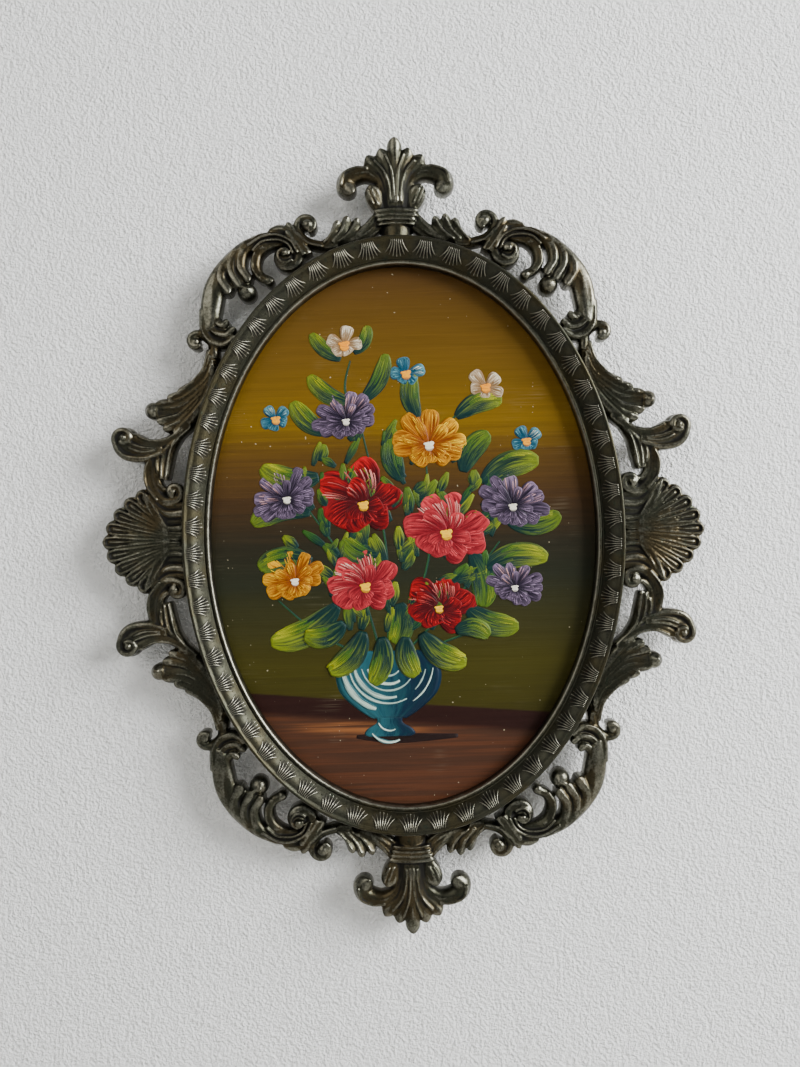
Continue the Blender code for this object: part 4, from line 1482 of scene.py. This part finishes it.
@dataclass
class Bouquet:
    """A round bunch of blossoms in a low round bowl, all in thick strokes; places are in mm."""

    face: float
    seed: int = 11
    leaf_dark: Colour = tone(8, 38, 36)
    leaf_mid: Colour = tone(34, 72, 18)
    leaf_light: Colour = tone(150, 150, 10)
    stem: Colour = tone(34, 74, 38)
    bowl_dark: Colour = tone(4, 26, 42)
    bowl_mid: Colour = tone(28, 76, 84)
    bowl_light: Colour = tone(196, 218, 198)
    foliage_centre: Point = (-3.0, 4.0)
    foliage_reach: Point = (36.0, 34.0)
    foliage_dabs: int = 130

    def build(self) -> bpy.types.Object:
        """Paint the bouquet and gather it as one piece."""
        self.brush = BrushWork(self.face, random.Random(self.seed))
        self._stems()
        self._leaves()
        self._foliage()
        self._blossoms()
        self._bowl()
        self._front_leaves()
        made = new_object("painted_bouquet", self.brush.mesh("painted_bouquet"))
        turn_outward(made.data, split=True)
        made.data.shade_smooth()
        made.data.materials.append(OilStroke().material())
        return made

    def dress(self, made: bpy.types.Object) -> None:
        """Say what the bouquet rides on."""
        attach(made, BODY)

    def _bristles(
        self, place: Callable[[float, float], Point], tones: Sequence[Colour], half: float, level: float,
        lines: int,
    ) -> None:
        """Draw the bristles' own lines over a dab.

        Args:
            place: Gives the place at a share of the dab's length and a lean from -1 to 1 across it.
            tones: The tones at the root, at the tip on the dark side and at the tip on the light side.
            half: The half width of one line, in mm.
            level: How far above the face they lie, in mm.
            lines: How many lie side by side.
        """
        chance = self.brush.chance
        root, dark, light = tones
        for k in range(lines):
            lean = (2 * k + 1) / lines - 1 + chance.uniform(-0.08, 0.08)
            first, last = chance.uniform(0.16, 0.42), chance.uniform(0.84, 0.99)
            end = blend(dark, light, min(1.0, chance.uniform(0.3, 1.25)))
            spine = []
            for share, wide in ((0.0, 0.35), (0.45, 1.0), (0.85, 0.85), (1.0, 0.3)):
                spine.append(
                    (*place(first + (last - first) * share, lean), half * wide * chance.uniform(0.75, 1.2))
                )
            self.brush.stroke(spine, root, end, Run.ALONG, level + 0.02 + chance.uniform(0.0, 0.02), 0.05, 2)

    def _leaf(self, root: Point, tip: Point, bow: float, width: float, bright: float, level: float) -> None:
        """Paint one leaf: a broad dark dab, and bristle lines that part from its midrib, light above it."""
        start, run = Vector(root), (Vector(tip) - Vector(root)) * self.brush.chance.uniform(0.80, 0.92)
        across = Vector((-run.y, run.x)).normalized()
        if across.y < 0:
            across, bow = -across, -bow
        light = blend(self.leaf_mid, self.leaf_light, bright)

        def place(t: float, lean: float) -> Point:
            spread = lean * width * math.sin(math.pi * (0.12 + 0.76 * t)) * (0.45 + 0.55 * t)
            return tuple(start + run * t + across * (bow * math.sin(math.pi * t) + spread))

        shares = ((0.0, 0.30), (0.18, 0.76), (0.46, 1.04), (0.76, 0.98), (0.93, 0.62), (1.0, 0.26))
        spine = [(*place(t, 0.0), width * share) for t, share in shares]
        middle = blend(self.leaf_mid, light, 0.35)
        self.brush.stroke(spine, self.leaf_dark, middle, Run.ALONG, level, 0.08, 3)
        sides = ((-1.15, -0.06, self.leaf_dark, middle), (0.06, 1.15, self.leaf_mid, light))
        for low, high, dark, pale in sides:
            self._bristles(
                lambda t, lean: place(t, low + (high - low) * (lean + 1) / 2), (dark, middle, pale),
                width * 0.14, level, 6,
            )

    def _stems(self) -> None:
        """Paint the stems that rise from the bowl."""
        courses = (
            ((-8, -40), (-16, -14), (-33, 12)), ((-6, -40), (-6, -2), (-14, 40)),
            ((-4, -40), (8, -8), (8, 24)),
            ((-2, -40), (16, -22), (32, -2)), ((-2, -41), (16, -34), (30, -30)),
            ((-10, -41), (-28, -32), (-42, -20)),
            ((-14, 36), (-18, 48), (-16, 58)), ((8, 24), (15, 36), (26, 44)),
        )
        for first, middle, last in courses:
            spine = [(*first, 0.55), (*middle, 0.5), (*last, 0.35)]
            self.brush.stroke(spine, self.leaf_dark, self.stem, Run.ACROSS, 0.02, 0.06, 8)

    def _leaves(self) -> None:
        """Paint the leaves behind the blossoms."""
        for root, tip, bow, width, bright in (
            ((-16, 44), (-31, 54), 2.2, 3.0, 0.9), ((-13, 44), (-3, 62), -2.0, 2.8, 0.5),
            ((-27, 20), (-49, 24), 3.0, 4.2, 1.0), ((-30, 8), (-53, 4), -3.2, 4.0, 0.6),
            ((-24, 34), (-38, 47), 1.6, 3.4, 0.8), ((0, 18), (-4, 34), 1.4, 3.6, 0.3),
            ((6, 38), (4, 55), 2.0, 3.2, 0.6), ((18, 38), (35, 44), 2.2, 3.4, 1.0),
            ((26, 16), (49, 25), 2.6, 4.4, 0.9), ((34, 4), (55, 6), -2.2, 3.8, 0.5),
            ((20, 20), (30, 34), 2.0, 3.8, 0.4), ((-8, -6), (-22, 0), 2.4, 4.0, 0.4),
            ((26, -12), (50, -8), 2.8, 4.2, 1.0), ((20, -24), (41, -32), -2.4, 4.0, 0.7),
            ((-22, -22), (-48, -36), 3.2, 4.6, 1.0), ((-30, -8), (-52, -10), -2.2, 4.0, 0.5),
            ((-19, 58), (-30, 68), 1.2, 2.4, 0.7), ((-15, 60), (-9, 71), -1.4, 2.2, 0.5),
            ((22, -6), (26, -26), 2.0, 4.2, 0.3), ((-2, -22), (-4, -38), 1.6, 4.2, 0.5),
        ):
            self._leaf(root, tip, bow, width, bright, 0.08)

    def _foliage(self) -> None:
        """Fill the bunch behind the blossoms with short dark dabs that rise from the bowl."""
        chance = self.brush.chance
        for _ in range(self.foliage_dabs):
            angle, share = chance.uniform(0, 2 * math.pi), math.sqrt(chance.uniform(0.02, 1.0))
            x = self.foliage_centre[0] + self.foliage_reach[0] * share * math.cos(angle)
            z = self.foliage_centre[1] + self.foliage_reach[1] * share * math.sin(angle)
            along = Vector((x + 5.0, z + 52.0)).normalized()
            along.rotate(Matrix.Rotation(chance.uniform(-0.9, 0.9), 2))
            reach, half = chance.uniform(3.0, 5.5), chance.uniform(1.2, 2.3)
            start, end = Vector((x, z)) - along * reach, Vector((x, z)) + along * reach
            pale = blend(self.leaf_mid, self.leaf_light, chance.uniform(0.0, 0.45))
            spine = [(*start, half * 0.4), (x, z, half), (*end, half * 0.3)]
            self.brush.stroke(spine, self.leaf_dark, pale, Run.ALONG, 0.04, 0.12, 4)

    def _blossoms(self) -> None:
        """Paint the blossoms in their places."""
        for kind, x, z, radius, squash, tilt in (
            (Bloom.CREAM_STARLET, -18, 64, 6.0, 0.80, 10), (Bloom.STARLET, 2, 54, 5.6, 0.75, -12),
            (Bloom.CREAM_STARLET, 28, 49, 5.8, 0.80, -20), (Bloom.STARLET, 41, 31, 5.2, 0.75, 14),
            (Bloom.STARLET, -41, 40, 5.2, 0.75, 24),
            (Bloom.ASTER, -18, 40, 10.4, 0.72, 12), (Bloom.ASTER, -38, 15, 11.0, 0.76, 24),
            (Bloom.MARIGOLD, 9, 32, 12.4, 0.74, -8), (Bloom.ASTER, 36, 11, 11.2, 0.76, -20),
            (Bloom.MARIGOLD, -36, -12, 10.2, 0.76, 18), (Bloom.ROSE, -13, 13, 13.0, 0.84, 5),
            (Bloom.PINK_ROSE, 14, 3, 13.2, 0.82, -12), (Bloom.ASTER, 36, -16, 9.4, 0.74, -22),
            (Bloom.PINK_ROSE, -13, -14, 11.8, 0.82, 10), (Bloom.ROSE, 11, -22, 10.6, 0.82, -8),
        ):
            self._bloom(BLOOM_FORMS[kind], x, z, radius, squash, math.radians(tilt))

    def _petal(
        self, turn: Turn, angle: float, length: float, width: float, tones: Sequence[Colour], level: float,
    ) -> None:
        """Paint one petal: a broad dab drawn out from the heart, and the bristles' lines over it."""
        dark, mid, light = tones

        def place(t: float, lean: float) -> Point:
            spread = lean * width * min(0.35 + 0.8 * t, 1.0) * 0.86 / (length * max(t, 0.12))
            return turn.lay(angle + turn.curve * (t - 0.5) + spread, length * t * (1.0 - 0.10 * lean * lean))

        shares = ((0.06, 0.30), (0.36, 0.70), (0.68, 1.0), (0.88, 0.90), (0.97, 0.60), (1.0, 0.30))
        spine = [(*place(t, 0.0), width * share) for t, share in shares]
        self.brush.stroke(spine, dark, mid, Run.ALONG, level, 0.08, 2)
        lines = max(3, round(width * 2.1))
        self._bristles(place, (dark, mid, light), width * 0.78 / lines, level, lines)

    def _bloom(self, form: BloomForm, x: float, z: float, radius: float, squash: float, tilt: float) -> None:
        """Paint one blossom seen a little from above: petals from back to front, then its heart."""
        chance = self.brush.chance
        turn = Turn(x, z - 0.22 * radius, squash, tilt, form.curved * 0.6)
        glow = chance.uniform(0.5, 2.4)
        level = 0.08
        for ring in range(form.rings):
            reach = radius * (1.0 - 0.36 * ring)
            count = max(form.petals - 3 * ring, 3)
            first = chance.uniform(0.0, 1.0)
            angles = [2 * math.pi * (k + first) / count + chance.uniform(-0.12, 0.12) for k in range(count)]
            for angle in sorted(angles, key=math.sin, reverse=True):
                length = reach * chance.uniform(0.88, 1.08) * (1.0 + 0.30 * math.sin(angle))
                near = 2.8 * math.cos(angle - glow) - 1.8 + chance.uniform(-0.2, 0.2)
                near = min(1.0, max(0.0, near))
                light = blend(form.light, form.tip, near)
                mid = blend(form.dark, form.light, 0.32 + 0.40 * near)
                width = reach * form.width * chance.uniform(0.9, 1.15)
                self._petal(turn, angle, length, width, (form.dark, mid, light), level)
                level += 0.006
        share = radius * form.heart_share
        low = blend(form.dark, form.heart, 0.3)
        for dx, dz, size, dark in (
            (0.1, -0.5, 1.1, low), (0.0, 0.0, 1.0, form.heart), (0.7, 0.5, 0.6, form.heart),
            (-0.8, 0.35, 0.5, form.heart),
        ):
            wide = [(-1.0, 0.1), (-0.5, size * share * 0.8), (0.5, size * share * 0.8), (1.0, 0.1)]
            spine = [(turn.x + (dx + size * step) * share, turn.z + dz * share, half) for step, half in wide]
            self.brush.stroke(spine, dark, form.heart, Run.MIDDLE, level + 0.04, 0.16, 4)

    def _bowl(self) -> None:
        """Paint the low bowl, the curved strokes that round it, and its foot."""
        x = -6.0
        shade = tone(24, 12, 10)
        shadow = [(x - 12, -65.6, 0.5), (x + 2, -66.4, 1.8), (x + 24, -66.0, 0.6)]
        self.brush.stroke(shadow, shade, shade, Run.ACROSS, 0.02, 0.03)
        body = [
            (x, -37.5, 13.0), (x, -41.5, 16.4), (x, -46.0, 17.8), (x, -51.5, 16.2), (x, -56.5, 11.0),
            (x, -60.0, 5.6),
        ]
        self.brush.stroke(body, self.bowl_mid, self.bowl_dark, Run.ACROSS, 0.10, 0.20, 5)
        foot = [(x, -59.2, 4.6), (x, -61.2, 4.4), (x, -63.2, 7.6), (x, -65.0, 8.6), (x, -65.8, 7.0)]
        self.brush.stroke(foot, self.bowl_mid, self.bowl_dark, Run.ACROSS, 0.10, 0.16, 4)
        chance = self.brush.chance
        for middle, radius, first, last, thick in (
            (-41.0, 15.4, 184, 256, 1.5), (-41.0, 13.2, 186, 300, 0.6), (-41.0, 11.4, 188, 286, 1.2),
            (-41.0, 9.2, 190, 326, 0.55), (-41.0, 7.2, 196, 304, 0.9), (-41.0, 4.6, 200, 322, 0.6),
            (-41.0, 14.8, 300, 352, 0.5), (-41.0, 12.4, 312, 348, 0.5), (-59.6, 4.0, 200, 300, 0.5),
            (-59.8, 7.4, 216, 296, 0.7),
        ):
            spine = []
            for k in range(7):
                angle = math.radians(first + (last - first) * k / 6)
                half = thick * (0.3 + 0.7 * math.sin(math.pi * (k + 0.6) / 7)) * chance.uniform(0.8, 1.2)
                spine.append(
                    (x + radius * math.cos(angle), middle + radius * 1.1 * math.sin(angle) * 0.96, half)
                )
            pale = blend(self.bowl_mid, self.bowl_light, chance.uniform(0.45, 1.0))
            self.brush.stroke(spine, self.bowl_mid, pale, Run.MIDDLE, 0.30, 0.10, 3)

    def _front_leaves(self) -> None:
        """Paint the leaves that hang over the bowl's rim."""
        for root, tip, bow, width, bright in (
            ((-14, -31), (-27, -46), 2.6, 4.2, 0.9), ((-8, -33), (-12, -51), 1.8, 3.8, 0.6),
            ((0, -33), (4, -49), -1.8, 3.8, 0.8), ((5, -32), (21, -43), -2.6, 4.2, 1.0),
            ((-20, -28), (-36, -33), 2.4, 3.8, 0.7), ((16, -32), (30, -34), 2.2, 3.2, 0.5),
        ):
            self._leaf(root, tip, bow, width, bright, 0.40)


@dataclass
class PaintedPanel:
    """The oval board under the bouquet, kept as the construction has it and finished here."""

    node: str = "painted_panel"

    def build(self) -> bpy.types.Object:
        """Give the board as the construction has it."""
        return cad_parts[self.node]

    def dress(self, board: bpy.types.Object) -> None:
        """Give the board its painted ground."""
        board.data.materials.clear()
        board.data.materials.append(OilGround().material())


@dataclass
class Studio:
    """A plain pale backdrop and floor, a soft window light from the right, and the camera."""

    centre: Point = (0.0, -0.007, 0.0)
    camera_reach: float = 0.268
    lens: float = 28.0
    sensor: float = 36.0
    roll: float = math.radians(1.4)
    picture_centre: tuple[float, float] = (403.5, 535.5)
    picture_size: tuple[int, int] = (800, 1067)
    wall_gap: float = 0.0035
    floor_height: float = -0.42
    sheet_size: float = 1.6
    sky: Colour = (0.80, 0.84, 0.88)
    sky_strength: float = 0.32

    def build(self) -> None:
        """Set the backdrop, the floor, the lights and the camera."""
        wall = self._sheet("backdrop", self.sheet_size, Plaster("backdrop_plaster", (0.96, 0.96, 0.94), True))
        for vert in wall.data.vertices:
            vert.co = (vert.co.x, self.wall_gap, vert.co.y)
        wall.visible_shadow = False
        floor = self._sheet("floor", self.sheet_size, Plaster("floor_plaster", (0.62, 0.61, 0.59)))
        for vert in floor.data.vertices:
            vert.co.z = self.floor_height
        for lamp in (
            ("window", (1.02, -0.58, 0.42), 0.70, 41.0, (0.98, 0.99, 1.0)),
            ("room", (-0.60, -0.90, 0.50), 0.9, 5.4, (1.0, 0.96, 0.90)),
            ("behind", (0.7, 0.9, 0.5), 0.9, 9.0, (1.0, 0.98, 0.95)),
            ("behind_low", (-0.8, 0.7, 0.1), 0.9, 5.0, (0.95, 0.97, 1.0)),
        ):
            self._light(*lamp)
        world = bpy.data.worlds.new("pale_room")
        world.use_nodes = True
        light = world.node_tree.nodes["Background"].inputs
        light["Color"].default_value = (*self.sky, 1.0)
        light["Strength"].default_value = self.sky_strength
        bpy.context.scene.world = world
        self._camera()

    @staticmethod
    def _sheet(name: str, size: float, finish: Plaster) -> bpy.types.Object:
        """Make a square sheet on the plane z = 0."""
        body = bmesh.new()
        bmesh.ops.create_grid(body, x_segments=1, y_segments=1, size=size)
        sheet = new_object(name, mesh_of(name, body))
        sheet.data.materials.append(finish.material())
        return sheet

    def _light(self, name: str, place: Point, size: float, power: float, colour: Colour) -> None:
        """Hang a square light that faces the object."""
        lamp = bpy.data.lights.new(name, "AREA")
        lamp.shape = "SQUARE"
        lamp.size = size
        lamp.energy = power
        lamp.color = colour
        made = bpy.data.objects.new(name, lamp)
        made.location = place
        made.rotation_euler = (Vector(self.centre) - Vector(place)).to_track_quat("-Z", "Y").to_euler()
        bpy.context.scene.collection.objects.link(made)

    def _camera(self) -> None:
        """Set the camera square to the picture, a little turned, as the picture hangs in the view."""
        made = bpy.data.cameras.new("camera")
        made.lens = self.lens
        made.sensor_width = self.sensor
        made.clip_start = 0.01
        camera = bpy.data.objects.new("camera", made)
        scale = self.camera_reach * self.sensor / self.lens / self.picture_size[1]
        right = self.picture_centre[0] - self.picture_size[0] / 2
        down = self.picture_centre[1] - self.picture_size[1] / 2
        cos, sin = math.cos(self.roll), math.sin(self.roll)
        shift_x, shift_z = (right * cos + down * sin) * scale, (right * sin - down * cos) * scale
        camera.location = (
            self.centre[0] - shift_x, self.centre[1] - self.camera_reach, self.centre[2] - shift_z
        )
        camera.rotation_euler = (math.pi / 2, self.roll, 0.0)
        bpy.context.scene.collection.objects.link(camera)
        bpy.context.scene.camera = camera


def report(item: bpy.types.Object) -> None:
    """Log a piece and how many triangles it has."""
    item.data.calc_loop_triangles()
    LOG.info("%s: %d triangles", item.name, len(item.data.loop_triangles))


def main() -> None:
    """Build and dress the frame, the bezel, the painting and the studio."""
    logging.basicConfig(level=logging.INFO, format="%(name)s %(message)s")
    low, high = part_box("painted_panel")
    panel = (high.x, high.z)
    _, bezel_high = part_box("oval_bezel")
    seat = (bezel_high.x, bezel_high.z)
    lip_cover = 0.0022
    opening = (panel[0] - lip_cover, panel[1] - lip_cover)
    bezel = OvalBezel(opening, panel, low.y)
    for piece in (OpenworkFrame(seat, panel), bezel, PaintedPanel(), Bouquet(low.y)):
        made = piece.build()
        piece.dress(made)
        report(made)
    Studio().build()


if __name__ == "__main__":
    main()
